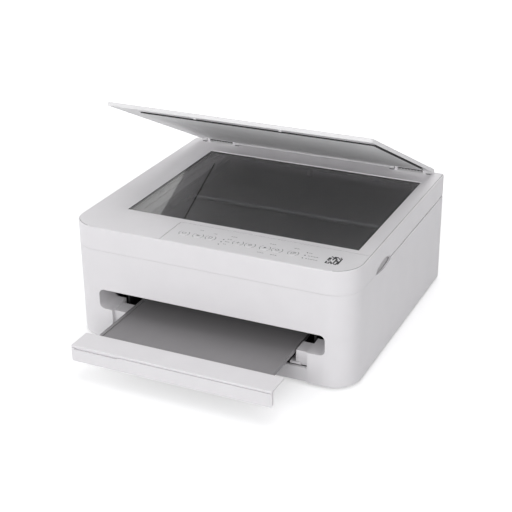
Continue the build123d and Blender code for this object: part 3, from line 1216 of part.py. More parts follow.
def make_top_frame():
    """Deck with the window for the glass, the seat of the operation panel and the cover's hinge posts."""
    skirt = (GLASS_UNDER - GLASS_SKIRT, DECK_UNDER)
    edge = DECK_RIM + DECK_SEAM
    with BuildPart() as frame:
        slab(DECK_UNDER, DECK_THICKNESS, edge)
        outer_x = (GLASS_LEFT - GLASS_SKIRT, GLASS_RIGHT + GLASS_SKIRT)
        outer_y = (GLASS_FRONT - GLASS_SKIRT, GLASS_REAR + GLASS_SKIRT)
        block(outer_x, outer_y, (skirt[0], DECK_UNDER + 0.5))
        block((GLASS_LEFT, GLASS_RIGHT), (GLASS_FRONT, GLASS_REAR), (GLASS_UNDER, DECK + WALL), Mode.SUBTRACT)
        ledge_x = (GLASS_LEFT + GLASS_LEDGE, GLASS_RIGHT - GLASS_LEDGE)
        ledge_y = (GLASS_FRONT + GLASS_LEDGE, GLASS_REAR - GLASS_LEDGE)
        block(ledge_x, ledge_y, (skirt[0] - WALL, DECK + WALL), Mode.SUBTRACT)
        extrude(panel_region(PANEL_UNDER, edge - FIT, 0), amount=2 * PANEL_THICKNESS, mode=Mode.SUBTRACT)
        cut_controls(DECK_THICKNESS + WALL)
        # Low ridge behind the glass that a page is laid against
        ridge = (GLASS_REAR + RIDGE_GAP, GLASS_REAR + RIDGE_GAP + RIDGE_WIDTH)
        block((GLASS_LEFT, GLASS_RIGHT), ridge, (DECK - DECK_THICKNESS / 2, DECK + RIDGE_HEIGHT))
        fillet(frame.edges().filter_by(Axis.X).group_by(Axis.Z)[-1], RIDGE_WIDTH / 4)
        for centre in (-HINGE_X, HINGE_X):
            add_hinge_posts(centre)
    save(frame, "top_frame")


def add_hinge_posts(centre):
    """Two round-topped posts that hold a cover spindle, and the slots that the hooks dip into."""
    for side in (-1, 1):
        hook_end = centre + side * (HINGE_SPAN / 2 - HOOK_WIDTH)
        post = tuple(sorted((hook_end - side * HINGE_POST_GAP, hook_end - side * (HINGE_POST_GAP + HINGE_POST))))
        block(post, (COVER_AXIS_Y - HOOK_R / 2, COVER_AXIS_Y + HOOK_R / 2), (DECK_UNDER, COVER_AXIS_HEIGHT))
        rod(post, COVER_AXIS_Y, COVER_AXIS_HEIGHT, HOOK_R / 2)
        rod(post, COVER_AXIS_Y, COVER_AXIS_HEIGHT, COVER_PIN_R + RUNNING, Mode.SUBTRACT)
        slot = tuple(sorted((hook_end - side * FIT, centre + side * (HINGE_SPAN / 2 + FIT))))
        dip = (COVER_AXIS_Y - HOOK_R - FIT, COVER_AXIS_Y + HOOK_R + FIT)
        block(slot, dip, (DECK_UNDER - WALL, DECK + FIT), Mode.SUBTRACT)


def make_glass():
    """Platen glass, dropped into its seat in the deck."""
    with BuildPart() as glass:
        x = (GLASS_LEFT + FIT, GLASS_RIGHT - FIT)
        block(x, (GLASS_FRONT + FIT, GLASS_REAR - FIT), (GLASS_UNDER, GLASS_TOP))
        chamfer(glass.edges().group_by(Axis.Z)[-1], 0.3)
    save(glass, "platen_glass")


def make_panel():
    """Operation panel plate over its seat."""
    with BuildPart() as panel:
        extrude(panel_region(PANEL_UNDER, DECK_RIM + DECK_SEAM, PANEL_GAP), amount=PANEL_THICKNESS)
        cut_controls(DECK_THICKNESS + WALL)
    save(panel, "operation_panel")


def make_buttons():
    """Eight round buttons, each held under the deck by a flange and with a stem towards its switch."""
    flange_top = DECK_UNDER - RUNNING
    stem_end = flange_top - BUTTON_FLANGE - 2.0
    for number, x in enumerate(BUTTON_XS, start=1):
        with BuildPart() as button:
            peg(x, BUTTON_Y, (flange_top, DECK + BUTTON_RISE), BUTTON_R)
            fillet(button.edges().group_by(Axis.Z)[-1], 0.35)
            peg(x, BUTTON_Y, (flange_top - BUTTON_FLANGE, flange_top), BUTTON_R + BUTTON_GAP + 0.8)
            peg(x, BUTTON_Y, (stem_end, flange_top), BUTTON_STEM_R)
        save(button, f"button_{number}")


def make_lights():
    """Six light guides that stand on the panel board and end flush with the panel."""
    board_top = board_height() + BOARD_THICKNESS
    with BuildPart() as lights:
        for x, y in LIGHTS:
            peg(x, y, (board_top, DECK + 0.05), LIGHT_R)
    save(lights, "status_lights")


def board_height():
    """Underside of the panel board: its switches stop just short of the button stems."""
    return DECK_UNDER - BUTTON_FLANGE - 2.0 - BUTTON_TRAVEL - 2.4 - BOARD_THICKNESS


def make_panel_board():
    """Board under the panel with one switch below each button."""
    bottom = board_height()
    top = bottom + BOARD_THICKNESS
    across = (PANEL_LEFT + 8, 152.0)
    depth = (BUTTON_Y - 17, BUTTON_Y + 13)
    with BuildPart() as board:
        block(across, depth, (bottom, top))
        for x in BUTTON_XS:
            block((x - 3, x + 3), (BUTTON_Y - 3, BUTTON_Y + 3), (top - 0.5, top + 2.0))
        for x in (across[0] + 3, across[1] - 3):
            peg(x, depth[0] + 3, (SCANNER_FLOOR_TOP, top), 2.5)
            peg(x, depth[1] - 3, (SCANNER_FLOOR_TOP, top), 2.5)
    save(board, "panel_board")


def make_scanner_works():
    """Guide rail, the carrier that slides on it and the sensor bar that it holds up to the glass."""
    rail = scan_rail_height()
    top = GLASS_UNDER - SENSOR_SINK
    under = top - SENSOR_HEIGHT
    with BuildPart() as guide:
        rod((-SIDE + WALL + 1, SIDE - WALL - 1), SCAN_RAIL_Y, rail, SCAN_RAIL_R)
    save(guide, "scan_rail")
    across = (SENSOR_X - SENSOR_WIDTH / 2, SENSOR_X + SENSOR_WIDTH / 2)
    length = (GLASS_FRONT + GLASS_LEDGE + 2, GLASS_REAR - GLASS_LEDGE - 2)
    with BuildPart() as sensor:
        block(across, length, (under, top))
        chamfer(sensor.edges().filter_by(Axis.Y).group_by(Axis.Z)[-1], 3.0)
        block((SENSOR_X - 4, SENSOR_X + 4), (length[0] + 6, length[1] - 6), (top - 1, top + 1), Mode.SUBTRACT)
    save(sensor, "sensor_bar")
    with BuildPart() as carrier:
        block((across[0] - 2, across[1] + 2), (SCAN_RAIL_Y - 22, SCAN_RAIL_Y + 22), (under - FIT - 3, under - FIT))
        block(across, (SCAN_RAIL_Y - 5.5, SCAN_RAIL_Y + 5.5), (rail - 2, under - FIT))
        rod((across[0] - 5, across[1] + 5), SCAN_RAIL_Y, rail, SCAN_RAIL_R + RUNNING, Mode.SUBTRACT)
    save(carrier, "sensor_carrier")


def make_cover():
    """Document cover: shallow pan with a rounded spine on the hinge axis and a hook at each hinge end."""
    half = COVER_WIDTH / 2
    with BuildPart() as cover:
        with BuildSketch(on_cover(COVER_UNDER)) as plan:
            with Locations((0, -COVER_LENGTH / 2)):
                Rectangle(COVER_WIDTH, COVER_LENGTH)
            fillet(plan.vertices().group_by(Axis.Y)[0], COVER_CORNER_R)
        extrude(plan.sketch, amount=COVER_EDGE)
        on_cover_rod((-half, half), 0, COVER_TOP)
        top = on_cover(0).z_dir
        upper = cover.faces().sort_by(Axis((0, 0, 0), top))[-1]
        fillet(upper.edges().sort_by(Axis.Y)[0], 1.2)
        # Recess that the pad sits in
        wide = (PAD_LEFT - PAD_GROOVE, PAD_RIGHT + PAD_GROOVE)
        long = (-PAD_FRONT - PAD_GROOVE / 2, -PAD_REAR + PAD_GROOVE / 2)
        on_cover_block(wide, long, (COVER_UNDER - WALL, COVER_CEILING), Mode.SUBTRACT)
        # Four small ribs across the groove at the front right corner
        for step in range(4):
            x = PAD_RIGHT - 8 + 3 * step
            rib = (-PAD_FRONT - PAD_GROOVE / 2, -PAD_FRONT - FIT)
            on_cover_block((x, x + 1), rib, (COVER_UNDER + 0.6, COVER_CEILING + 0.2))
        # Two stops on the front rim that meet the deck when the cover is shut
        for x in STOP_XS:
            with BuildSketch(on_cover(COVER_UNDER + 0.2)) as stop:
                with Locations((x, STOP_INSET - COVER_LENGTH)):
                    Circle(STOP_R)
            extrude(stop.sketch, amount=-(COVER_LIFT - PAD_CLEARANCE) - 0.2)
        for centre in (-HINGE_X, HINGE_X):
            add_hooks(centre)
    save(cover, "document_cover")


def on_cover_block(x, y, z, mode=Mode.ADD):
    """Box in the cover's own directions."""
    with BuildSketch(on_cover(z[0])) as base:
        with Locations((sum(x) / 2, sum(y) / 2)):
            Rectangle(x[1] - x[0], y[1] - y[0])
    extrude(base.sketch, amount=z[1] - z[0], mode=mode)


def on_cover_rod(x, y, radius, mode=Mode.ADD):
    """Round bar about the hinge axis of the cover."""
    rod(x, COVER_AXIS_Y + y, COVER_AXIS_HEIGHT, radius, mode)


def add_hooks(centre):
    """Clears the spine over one hinge and leaves an eye round the spindle at both ends."""
    inner, outer = centre - HINGE_SPAN / 2, centre + HINGE_SPAN / 2
    room = (inner + HOOK_WIDTH, outer - HOOK_WIDTH)
    on_cover_block(room, (-NOTCH_DEPTH, 2 * HOOK_R), (-2 * HOOK_R, 2 * HOOK_R), Mode.SUBTRACT)
    for start in (inner, outer - HOOK_WIDTH):
        across = (start, start + HOOK_WIDTH)
        on_cover_rod(across, 0, HOOK_R)
        on_cover_block(across, (-2 * HOOK_R, 0), (COVER_UNDER, HOOK_R))
        on_cover_rod((start - FIT, start + HOOK_WIDTH + FIT), 0, COVER_PIN_R + RUNNING, Mode.SUBTRACT)


def make_pad():
    """Dark foam layer and the white sheet that presses a page to the glass."""
    with BuildPart() as foam:
        x = (PAD_LEFT + FOAM_INSET, PAD_RIGHT - FOAM_INSET)
        on_cover_block(x, (-PAD_FRONT + FOAM_INSET, -PAD_REAR - FOAM_INSET), (PAD_TOP, COVER_CEILING))
    save(foam, "pad_foam")
    with BuildPart() as sheet:
        on_cover_block((PAD_LEFT, PAD_RIGHT), (-PAD_FRONT, -PAD_REAR), (PAD_UNDER, PAD_TOP))
    save(sheet, "pad_sheet")


def make_hinge_spindles():
    """Pin of each cover hinge, turned with a row of beads between its posts."""
    bead_span = HINGE_SPAN - 2 * (HOOK_WIDTH + HINGE_POST + 2 * HINGE_POST_GAP)
    pitch = bead_span / BEADS
    for centre, name in ((-HINGE_X, "hinge_spindle_left"), (HINGE_X, "hinge_spindle_right")):
        with BuildPart() as pin:
            rod((centre - HINGE_SPAN / 2, centre + HINGE_SPAN / 2), COVER_AXIS_Y, COVER_AXIS_HEIGHT, COVER_PIN_R)
            rod((centre - bead_span / 2, centre + bead_span / 2), COVER_AXIS_Y, COVER_AXIS_HEIGHT, BEAD_NECK_R)
            for bead in range(BEADS):
                start = centre - bead_span / 2 + bead * pitch + pitch / 4
                rod((start, start + pitch / 2), COVER_AXIS_Y, COVER_AXIS_HEIGHT, BEAD_R)
        save(pin, name)


make_case_wrap()
make_rear_cover()
make_base_frame()
make_feet()
make_cassette()
make_cassette_front()
make_side_guides()
make_front_guide()
make_output_tray()
make_tray_front()
make_engine_frame()
make_exit_guide()
make_platen()
make_turn_guide()
make_gears()
make_feed_roller()
make_pinch_rollers()
make_pinch_holder()
make_eject_roller()
make_pickup()
make_feed_motor()
make_chassis_rail()
make_carriage()
make_cartridges()
make_belt()
make_pulleys()
make_carriage_motor()
make_maintenance_station()
make_electronics()
make_scanner_case()
make_unit_pins()
make_top_frame()
make_glass()
make_panel()
make_buttons()
make_lights()
make_panel_board()
make_scanner_works()
make_cover()
make_pad()
make_hinge_spindles()
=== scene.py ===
"""Looks of the multifunction printer: finishes, panel marks, foam pad, screws, grip cups, light, camera."""

import json
from math import cos, pi, radians, sin
from random import Random

import bmesh
import bpy
from mathutils import Matrix, Vector


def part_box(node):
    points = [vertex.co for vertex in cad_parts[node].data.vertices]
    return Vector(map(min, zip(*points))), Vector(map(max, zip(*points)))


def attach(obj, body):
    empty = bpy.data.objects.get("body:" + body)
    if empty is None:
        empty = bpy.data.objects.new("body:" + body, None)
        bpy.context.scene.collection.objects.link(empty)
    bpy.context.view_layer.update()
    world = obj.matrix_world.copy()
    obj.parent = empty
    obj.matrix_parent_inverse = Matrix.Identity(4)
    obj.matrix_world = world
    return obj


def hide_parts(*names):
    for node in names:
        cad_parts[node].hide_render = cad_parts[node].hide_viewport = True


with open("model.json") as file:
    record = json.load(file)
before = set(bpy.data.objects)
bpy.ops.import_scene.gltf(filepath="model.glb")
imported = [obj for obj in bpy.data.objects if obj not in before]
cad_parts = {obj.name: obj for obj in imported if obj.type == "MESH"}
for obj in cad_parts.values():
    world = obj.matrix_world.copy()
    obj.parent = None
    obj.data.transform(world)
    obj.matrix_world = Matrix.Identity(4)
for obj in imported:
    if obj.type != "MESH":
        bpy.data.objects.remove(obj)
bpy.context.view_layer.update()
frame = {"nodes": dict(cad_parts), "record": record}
MM = 0.001

# Camera, as fitted to the edges of the body in the photograph
PICTURE_SIZE = 512
FOCAL_PIXELS = 1196.55
CAMERA_PLACE = Vector((0.59162, -1.23470, 0.72966))
CAMERA_AZIMUTH = radians(25.25)
CAMERA_ELEVATION = radians(25.05)
CAMERA_ROLL = radians(-0.65)

# Colours, linear
WHITE = (0.790, 0.776, 0.794)
PANEL_WHITE = (0.775, 0.765, 0.780)
COVER_WHITE = (0.800, 0.795, 0.803)
PAD_WHITE = (0.800, 0.800, 0.805)
TRAY_GREY = (0.265, 0.257, 0.265)
# Dark painted deeper than the scanner's wall, and as painted shade in the gaps round the deck
INSIDE_DARK_AND_GAP_SHADE = (0.022, 0.022, 0.023)
PRINT_GREY = (0.055, 0.055, 0.058)
PRINT_DARK = (0.015, 0.015, 0.016)
# Grey of the foam, also used as painted shade in the cover's recess and on the pad film's edge
FOAM_GREY_AND_PAINTED_SHADE = (0.025, 0.025, 0.027)

# Sizes of the body in millimetres, as in the part's source, with GRIP_Y from the middle of the case
WALL = 2.5
FRONT_CORNER_R = 35.0
FOOT_LIFT = 2.5
SEAM_HEIGHT = 120.0
GRIP_Y = -70.0
GRIP_LENGTH = 52.0
GRIP_RISE = 8.0
GRIP_DIP = 4.5
GRIP_DEPTH = 6.5
# Seam to the scanner unit, from the surface that the feet stand on
SEAM_RISE = FOOT_LIFT + SEAM_HEIGHT
# Recess of the cover round the pad, painted dark as shade: gap at the sides and at the ends, depth limits
# from the pad's white face
PAD_GAP_ACROSS = 3.0
PAD_GAP_ALONG = 1.5
PAD_RECESS = (2.3, 4.4)

# Depth below the deck's face from which its edges are painted dark as shade of the gaps round it, and the
# strip at the front that stays white
GAP_SHADOW = 0.2
FRONT_STRIP = 1.0
# How far a painted mask reaches past the faces that it is meant for
WALL_MARGIN = 0.1
GRIP_MARGIN = 0.2
PAD_MARGIN = 0.05

case_low, case_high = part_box("scanner_case")
CASE_MIDDLE = Vector(((case_low.x + case_high.x) / 2, (case_low.y + case_high.y) / 2, 0.0))
CASE_HALF = (case_high.x - case_low.x) / 2 / MM
PANEL_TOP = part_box("operation_panel")[1].z


def link(thing):
    """Object put into the scene."""
    bpy.context.scene.collection.objects.link(thing)
    return thing


def shade(colour, share):
    """Colour made lighter or darker by a share."""
    return tuple(part * share for part in colour)


# Sockets of a mix node that carry its two colours and their blend
MIX_COLOURS = (6, 7)
MIX_BLEND = 2


class Nodes:
    """Node tree of one material, with short calls for what the finishes share."""

    def __init__(self, name):
        self.material = bpy.data.materials.new(name)
        self.material.use_nodes = True
        self.tree = self.material.node_tree
        self.shader = self.tree.nodes["Principled BSDF"]
        self.place = self.tree.nodes.new("ShaderNodeTexCoord").outputs["Object"]

    def wire(self, start, end):
        """Link from an output to an input."""
        self.tree.links.new(start, end)

    def put(self, socket, value):
        """Number, colour or output on one of the shader's sockets."""
        target = self.shader.inputs[socket]
        if isinstance(value, (int, float, tuple)):
            target.default_value = value
        else:
            self.wire(value, target)

    def xyz(self):
        """The three parts of the place on the surface."""
        parts = self.tree.nodes.new("ShaderNodeSeparateXYZ")
        self.wire(self.place, parts.inputs[0])
        return parts.outputs

    def length(self, vector):
        """Length of a vector output."""
        node = self.tree.nodes.new("ShaderNodeVectorMath")
        node.operation = "LENGTH"
        self.wire(vector, node.inputs[0])
        return node.outputs["Value"]

    def reach(self, axis):
        """How far the place on the surface lies along a fixed direction."""
        node = self.tree.nodes.new("ShaderNodeVectorMath")
        node.operation = "DOT_PRODUCT"
        node.inputs[1].default_value = axis
        self.wire(self.place, node.inputs[0])
        return node.outputs["Value"]

    def noise(self, size, detail, stretch=(1, 1, 1)):
        """Noise with features of about this size in metres."""
        texture = self.tree.nodes.new("ShaderNodeTexNoise")
        texture.inputs["Scale"].default_value = 1.0
        texture.inputs["Detail"].default_value = detail
        mapping = self.tree.nodes.new("ShaderNodeMapping")
        mapping.inputs["Scale"].default_value = [part / size for part in stretch]
        self.wire(self.place, mapping.inputs["Vector"])
        self.wire(mapping.outputs["Vector"], texture.inputs["Vector"])
        return texture.outputs["Fac"]

    def ramp(self, factor, low=0.0, high=1.0, start=0.3, end=0.7):
        """Value that goes from low to high as the factor goes from start to end."""
        node = self.tree.nodes.new("ShaderNodeMapRange")
        node.inputs["From Min"].default_value = start
        node.inputs["From Max"].default_value = end
        node.inputs["To Min"].default_value = low
        node.inputs["To Max"].default_value = high
        self.wire(factor, node.inputs["Value"])
        return node.outputs["Result"]

    def blend(self, factor, first, second):
        """Colour between two colours or colour outputs."""
        node = self.tree.nodes.new("ShaderNodeMix")
        node.data_type = "RGBA"
        self.wire(factor, node.inputs["Factor"])
        for value, place in zip((first, second), MIX_COLOURS):
            if isinstance(value, tuple):
                node.inputs[place].default_value = (*value, 1)
            else:
                self.wire(value, node.inputs[place])
        return node.outputs[MIX_BLEND]

    def tint(self, factor, colour, dark, light):
        """Base colour that varies between two shades of a colour."""
        self.put("Base Color", self.blend(factor, shade(colour, dark), shade(colour, light)))

    def gloss(self, size, detail, low, high):
        """Roughness that wanders between two values."""
        self.put("Roughness", self.ramp(self.noise(size, detail), low, high))

    def math(self, operation, first, second=0.0):
        """Result of an operation on numbers or outputs."""
        node = self.tree.nodes.new("ShaderNodeMath")
        node.operation = operation
        for value, socket in ((first, node.inputs[0]), (second, node.inputs[1])):
            if isinstance(value, (int, float)):
                socket.default_value = value
            else:
                self.wire(value, socket)
        return node.outputs[0]

    def all_of(self, mask, *others):
        """1 where every mask is 1."""
        for other in others:
            mask = self.math("MULTIPLY", mask, other)
        return mask

    def outside(self, mask):
        """1 where a mask is 0."""
        return self.math("SUBTRACT", 1.0, mask)

    def within(self, value, low, high):
        """1 where a value lies between two limits."""
        return self.all_of(self.math("GREATER_THAN", value, low), self.math("LESS_THAN", value, high))

    def bump(self, height, depth):
        """Bump whose full height is this depth in metres."""
        node = self.tree.nodes.new("ShaderNodeBump")
        node.inputs["Distance"].default_value = depth
        self.wire(height, node.inputs["Height"])
        self.put("Normal", node.outputs["Normal"])

    def paint_over(self, mask, colour):
        """Second colour where the mask is 1, over what the base colour has so far."""
        base = self.shader.inputs["Base Color"]
        self.wire(self.blend(mask, base.links[0].from_socket, colour), base)


def moulded(name, colour, roughness=0.42, grain=0.0007, depth=0.00003, mottle=0.012, specular=0.45):
    """Nodes of a moulded plastic: fine spark-eroded grain, faint clouding and uneven gloss."""
    nodes = Nodes(name)
    nodes.tint(nodes.ramp(nodes.noise(size=0.03, detail=3.0)), colour, 1 - mottle, 1 + mottle)
    nodes.gloss(size=0.012, detail=4.0, low=roughness - 0.03, high=roughness + 0.05)
    nodes.put("Specular IOR Level", specular)
    nodes.bump(nodes.noise(size=grain, detail=4.0), depth)
    return nodes


def plastic(name, colour, **look):
    """Moulded plastic with nothing painted over it."""
    return moulded(name, colour, **look).material


def metal(name, colour, roughness, stretch=(0.05, 1, 1)):
    """Rolled sheet metal, with streaks drawn along X unless the stretch says otherwise."""
    nodes = Nodes(name)
    streaks = nodes.noise(size=0.0008, detail=3.0, stretch=stretch)
    nodes.tint(nodes.ramp(streaks), colour, dark=0.86, light=1.08)
    nodes.put("Metallic", 1.0)
    nodes.gloss(size=0.008, detail=4.0, low=roughness - 0.06, high=roughness + 0.12)
    nodes.bump(streaks, depth=0.00001)
    return nodes.material


def rubber(name, colour, grain=0.0004):
    """Matt rubber with a ground face."""
    nodes = Nodes(name)
    dust = nodes.noise(size=0.006, detail=5.0)
    nodes.tint(nodes.ramp(dust), colour, dark=0.8, light=1.5)
    nodes.put("Roughness", nodes.ramp(dust, low=0.62, high=0.85))
    nodes.bump(nodes.noise(size=grain, detail=3.0), depth=0.00008)
    return nodes.material


# Cells of foam to a metre, scale of a board's pattern of tracks, and width of the tracks at that scale
FOAM_CELLS = 1400
BOARD_SCALE = 220
TRACK_WIDTH = 0.04


def foam(name, colour):
    """Open-cell foam."""
    nodes = Nodes(name)
    cells = nodes.tree.nodes.new("ShaderNodeTexVoronoi")
    cells.inputs["Scale"].default_value = FOAM_CELLS
    nodes.wire(nodes.place, cells.inputs["Vector"])
    distance = cells.outputs["Distance"]
    nodes.tint(nodes.ramp(distance, start=0.1, end=0.7), colour, dark=0.5, light=1.7)
    nodes.put("Roughness", 0.95)
    nodes.put("Sheen Weight", 0.2)
    nodes.bump(distance, depth=0.0003)
    return nodes.material


def board(name, colour):
    """Lacquered circuit board with copper tracks showing through."""
    nodes = Nodes(name)
    tracks = nodes.tree.nodes.new("ShaderNodeTexBrick")
    tracks.inputs["Scale"].default_value = BOARD_SCALE
    tracks.inputs["Mortar Size"].default_value = TRACK_WIDTH
    nodes.wire(nodes.place, tracks.inputs["Vector"])
    nodes.tint(tracks.outputs["Fac"], colour, dark=1, light=1.8)
    nodes.gloss(size=0.004, detail=2.0, low=0.22, high=0.4)
    nodes.bump(tracks.outputs["Fac"], depth=0.00003)
    return nodes.material


GLASS_TINT = (0.87, 0.865, 0.87, 1)
GLASS_INDEX = 1.5


def glass(name):
    """Float glass of the scan window, faintly grey, with gloss that is a little uneven."""
    nodes = Nodes(name)
    nodes.put("Base Color", GLASS_TINT)
    nodes.put("Transmission Weight", 1.0)
    nodes.put("IOR", GLASS_INDEX)
    nodes.gloss(size=0.02, detail=5.0, low=0.0, high=0.006)
    return nodes.material


def scanner_casing(name):
    """White band outside; all that lies deeper than the wall is painted dark, save the finger grips."""
    nodes = moulded(name, WHITE)
    x, y, z = nodes.xyz()
    aside = nodes.math("ABSOLUTE", x)
    radius = FRONT_CORNER_R * MM
    past_side = nodes.math("SUBTRACT", aside, case_high.x - radius)
    past_front = nodes.math("SUBTRACT", case_low.y + radius, y)
    corner = nodes.tree.nodes.new("ShaderNodeCombineXYZ")
    nodes.wire(nodes.math("MAXIMUM", past_side, 0.0), corner.inputs[0])
    nodes.wire(nodes.math("MAXIMUM", past_front, 0.0), corner.inputs[1])
    inner = nodes.math("MINIMUM", nodes.math("MAXIMUM", past_side, past_front), 0.0)
    depth = nodes.math("SUBTRACT", radius, nodes.math("ADD", nodes.length(corner.outputs[0]), inner))
    depth = nodes.math("MINIMUM", depth, nodes.math("SUBTRACT", case_high.y, y))
    deep = nodes.math("GREATER_THAN", depth, (WALL - WALL_MARGIN) * MM)
    grip_middle = CASE_MIDDLE.y + GRIP_Y * MM
    grip_half = (GRIP_LENGTH / 2 + GRIP_MARGIN) * MM
    along = nodes.within(y, grip_middle - grip_half, grip_middle + grip_half)
    low = nodes.math("LESS_THAN", z, (SEAM_RISE + GRIP_RISE + GRIP_MARGIN) * MM)
    outer = nodes.math("GREATER_THAN", aside, case_high.x - (GRIP_DEPTH + GRIP_MARGIN) * MM)
    grip = nodes.all_of(along, low, outer)
    nodes.paint_over(nodes.all_of(deep, nodes.outside(grip)), INSIDE_DARK_AND_GAP_SHADE)
    return nodes.material


def deck_plastic_painted_gap_shade(name, node, colour, **look):
    """White plate whose edges, but for the front one, are painted dark below its face: painted shade for the
    gaps round it.
    """
    nodes = moulded(name, colour, **look)
    _, y, z = nodes.xyz()
    below = nodes.math("LESS_THAN", z, PANEL_TOP - GAP_SHADOW * MM)
    behind = nodes.math("GREATER_THAN", y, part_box(node)[0].y + FRONT_STRIP * MM)
    # Painted shade: faces below the deck's top, behind the front strip, turn dark
    nodes.paint_over(nodes.all_of(below, behind), INSIDE_DARK_AND_GAP_SHADE)
    return nodes.material


def cover_axes():
    """Directions across the cover, along it away from its hinge, and square to it."""
    sheet = frame["nodes"]["pad_sheet"].data
    face = max(sheet.polygons, key=lambda polygon: polygon.area)
    across = Vector((1, 0, 0))
    up = face.normal.copy()
    if up.z < 0:
        up.negate()
    away = up.cross(across)
    return across, (away if away.y < 0 else -away), up


def spans_on_cover(node):
    """Lowest and highest reach of a node across the cover, along it and square to it."""
    spans = []
    for axis in cover_axes():
        reaches = [vertex.co.dot(axis) for vertex in frame["nodes"][node].data.vertices]
        spans.append((min(reaches), max(reaches)))
    return spans


def over_pad(nodes, grow_across, grow_along):
    """1 within the outline of the pad's sheet, grown by so many millimetres to each side and each end."""
    (left, right), (near, far), _ = spans_on_cover("pad_sheet")
    across, along, _ = cover_axes()
    wide = grow_across * MM
    long = grow_along * MM
    return nodes.all_of(
        nodes.within(nodes.reach(across), left - wide, right + wide),
        nodes.within(nodes.reach(along), near - long, far + long),
    )


def cover_plastic_painted_recess_shade(name):
    """White cover with painted shade: its recess round the pad is painted in the foam's dark grey."""
    nodes = moulded(name, COVER_WHITE)
    under = spans_on_cover("pad_sheet")[2][0]
    rise = nodes.reach(cover_axes()[2])
    shallow, deep = PAD_RECESS
    recess = nodes.within(rise, under + shallow * MM, under + (deep + PAD_MARGIN) * MM)
    field = over_pad(nodes, PAD_GAP_ACROSS + PAD_MARGIN, PAD_GAP_ALONG + PAD_MARGIN)
    # Painted shade in the recess round the pad, in the foam's grey
    nodes.paint_over(nodes.all_of(field, recess), FOAM_GREY_AND_PAINTED_SHADE)
    return nodes.material


def pad_film_painted_edge_shade(name):
    """White film of the pad, bonded to the foam, with its cut edge painted dark as painted shade along the
    pad's edge.
    """
    nodes = moulded(name, PAD_WHITE, roughness=0.5, depth=0.00001)
    face = over_pad(nodes, -PAD_MARGIN, -PAD_MARGIN)
    # Painted shade on the film's cut edge
    nodes.paint_over(nodes.outside(face), FOAM_GREY_AND_PAINTED_SHADE)
    return nodes.material


def finishes():
    """Material of each slot in the record, of nodes that differ from their slot, and of added pieces."""
    return {
        "white_casing": plastic("casing", WHITE),
        "panel_white": deck_plastic_painted_gap_shade("panel", "operation_panel", PANEL_WHITE, roughness=0.36, depth=0.00002),
        "button_white": plastic("buttons", PANEL_WHITE, roughness=0.34, depth=0.00001),
        "cover_white": cover_plastic_painted_recess_shade("cover"),
        "base_grey": plastic("base", (0.055, 0.056, 0.06), roughness=0.55),
        "engine_black": plastic("engine", (0.012, 0.012, 0.013), roughness=0.5),
        "tray_grey": plastic("tray", TRAY_GREY, roughness=0.4),
        "guide_grey": plastic("guides", (0.28, 0.29, 0.3), roughness=0.45),
        "rubber": rubber("rubber", (0.018, 0.018, 0.018)),
        "roller": rubber("roller", (0.03, 0.03, 0.032)),
        "steel": metal("steel", (0.55, 0.56, 0.58), roughness=0.32),
        "spindle_white": plastic("spindles", (0.08, 0.08, 0.083), roughness=0.3, depth=0.00001),
        "gear_white": plastic("gears", (0.68, 0.68, 0.65), roughness=0.3, depth=0.00001),
        "ink_black": plastic("black_ink_shell", (0.01, 0.01, 0.011), roughness=0.3),
        "ink_colour": plastic("colour_ink_shell", (0.02, 0.03, 0.07), roughness=0.3),
        "board_green": board("boards", (0.01, 0.09, 0.03)),
        "supply_black": plastic("supply", (0.013, 0.013, 0.014), roughness=0.5),
        "glass": glass("scan_glass"),
        "light_guide": plastic("lights", (0.10, 0.10, 0.105), roughness=0.2, depth=0.000005),
        "foam": foam("foam", FOAM_GREY_AND_PAINTED_SHADE),
        "pad_sheet": pad_film_painted_edge_shade("pad_film_painted_edge_shade"),
        "scanner_case": scanner_casing("scanner_casing"),
        "top_frame": deck_plastic_painted_gap_shade("deck", "top_frame", WHITE),
        "scan_rail": metal("dark_steel", (0.10, 0.10, 0.105), roughness=0.4),
        "print": plastic("grey_print", PRINT_GREY, roughness=0.5, depth=0.000005),
        "dark_print": plastic("dark_print", PRINT_DARK, roughness=0.5, depth=0.000005),
        "screws": metal("screw_steel", (0.30, 0.30, 0.31), roughness=0.35, stretch=(1, 1, 1)),
    }


def dress_nodes(slots):
    """Gives each CAD node its own finish, or that of its slot."""
    by_node = {part["node"]: part["material_slot"] for part in frame["record"]["subparts"]}
    for name, thing in frame["nodes"].items():
        chosen = slots[name] if name in slots else slots[by_node[name]]
        for place in thing.material_slots:
            place.material = chosen


def on_case(x, y, height):
    """Point given in millimetres from the middle of the case, at a height in metres."""
    return Vector((CASE_MIDDLE.x + x * MM, CASE_MIDDLE.y + y * MM, height))


def on_circle(centre, radius, turn):
    """Point of a circle at an angle in radians."""
    return centre[0] + radius * cos(turn), centre[1] + radius * sin(turn)


def wall(shape, lower, upper):
    """Faces between two closed rings of as many points."""
    for here in range(len(lower)):
        after = (here + 1) % len(lower)
        shape.faces.new((lower[here], lower[after], upper[after], upper[here]))


def strip(shape, first, second):
    """Faces between two open lines of as many points."""
    for here in range(len(first) - 1):
        shape.faces.new((first[here], second[here], second[here + 1], first[here + 1]))


def ring_edges(shape, ring):
    """Edges that close a ring of points."""
    return [shape.edges.get((ring[here], ring[(here + 1) % len(ring)])) for here in range(len(ring))]


def mesh_piece(name, shape, material, body):
    """Finished bmesh as a piece that rides on a body."""
    bmesh.ops.recalc_face_normals(shape, faces=shape.faces)
    mesh = bpy.data.meshes.new(name)
    shape.to_mesh(mesh)
    shape.free()
    mesh.materials.append(material)
    piece = link(bpy.data.objects.new(name, mesh))
    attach(piece, body)
    return piece


# Layer of paint, metres: thickness, and how far it reaches into the surface below
PRINT_THICKNESS = 0.00005
PRINT_SINK = 0.00002


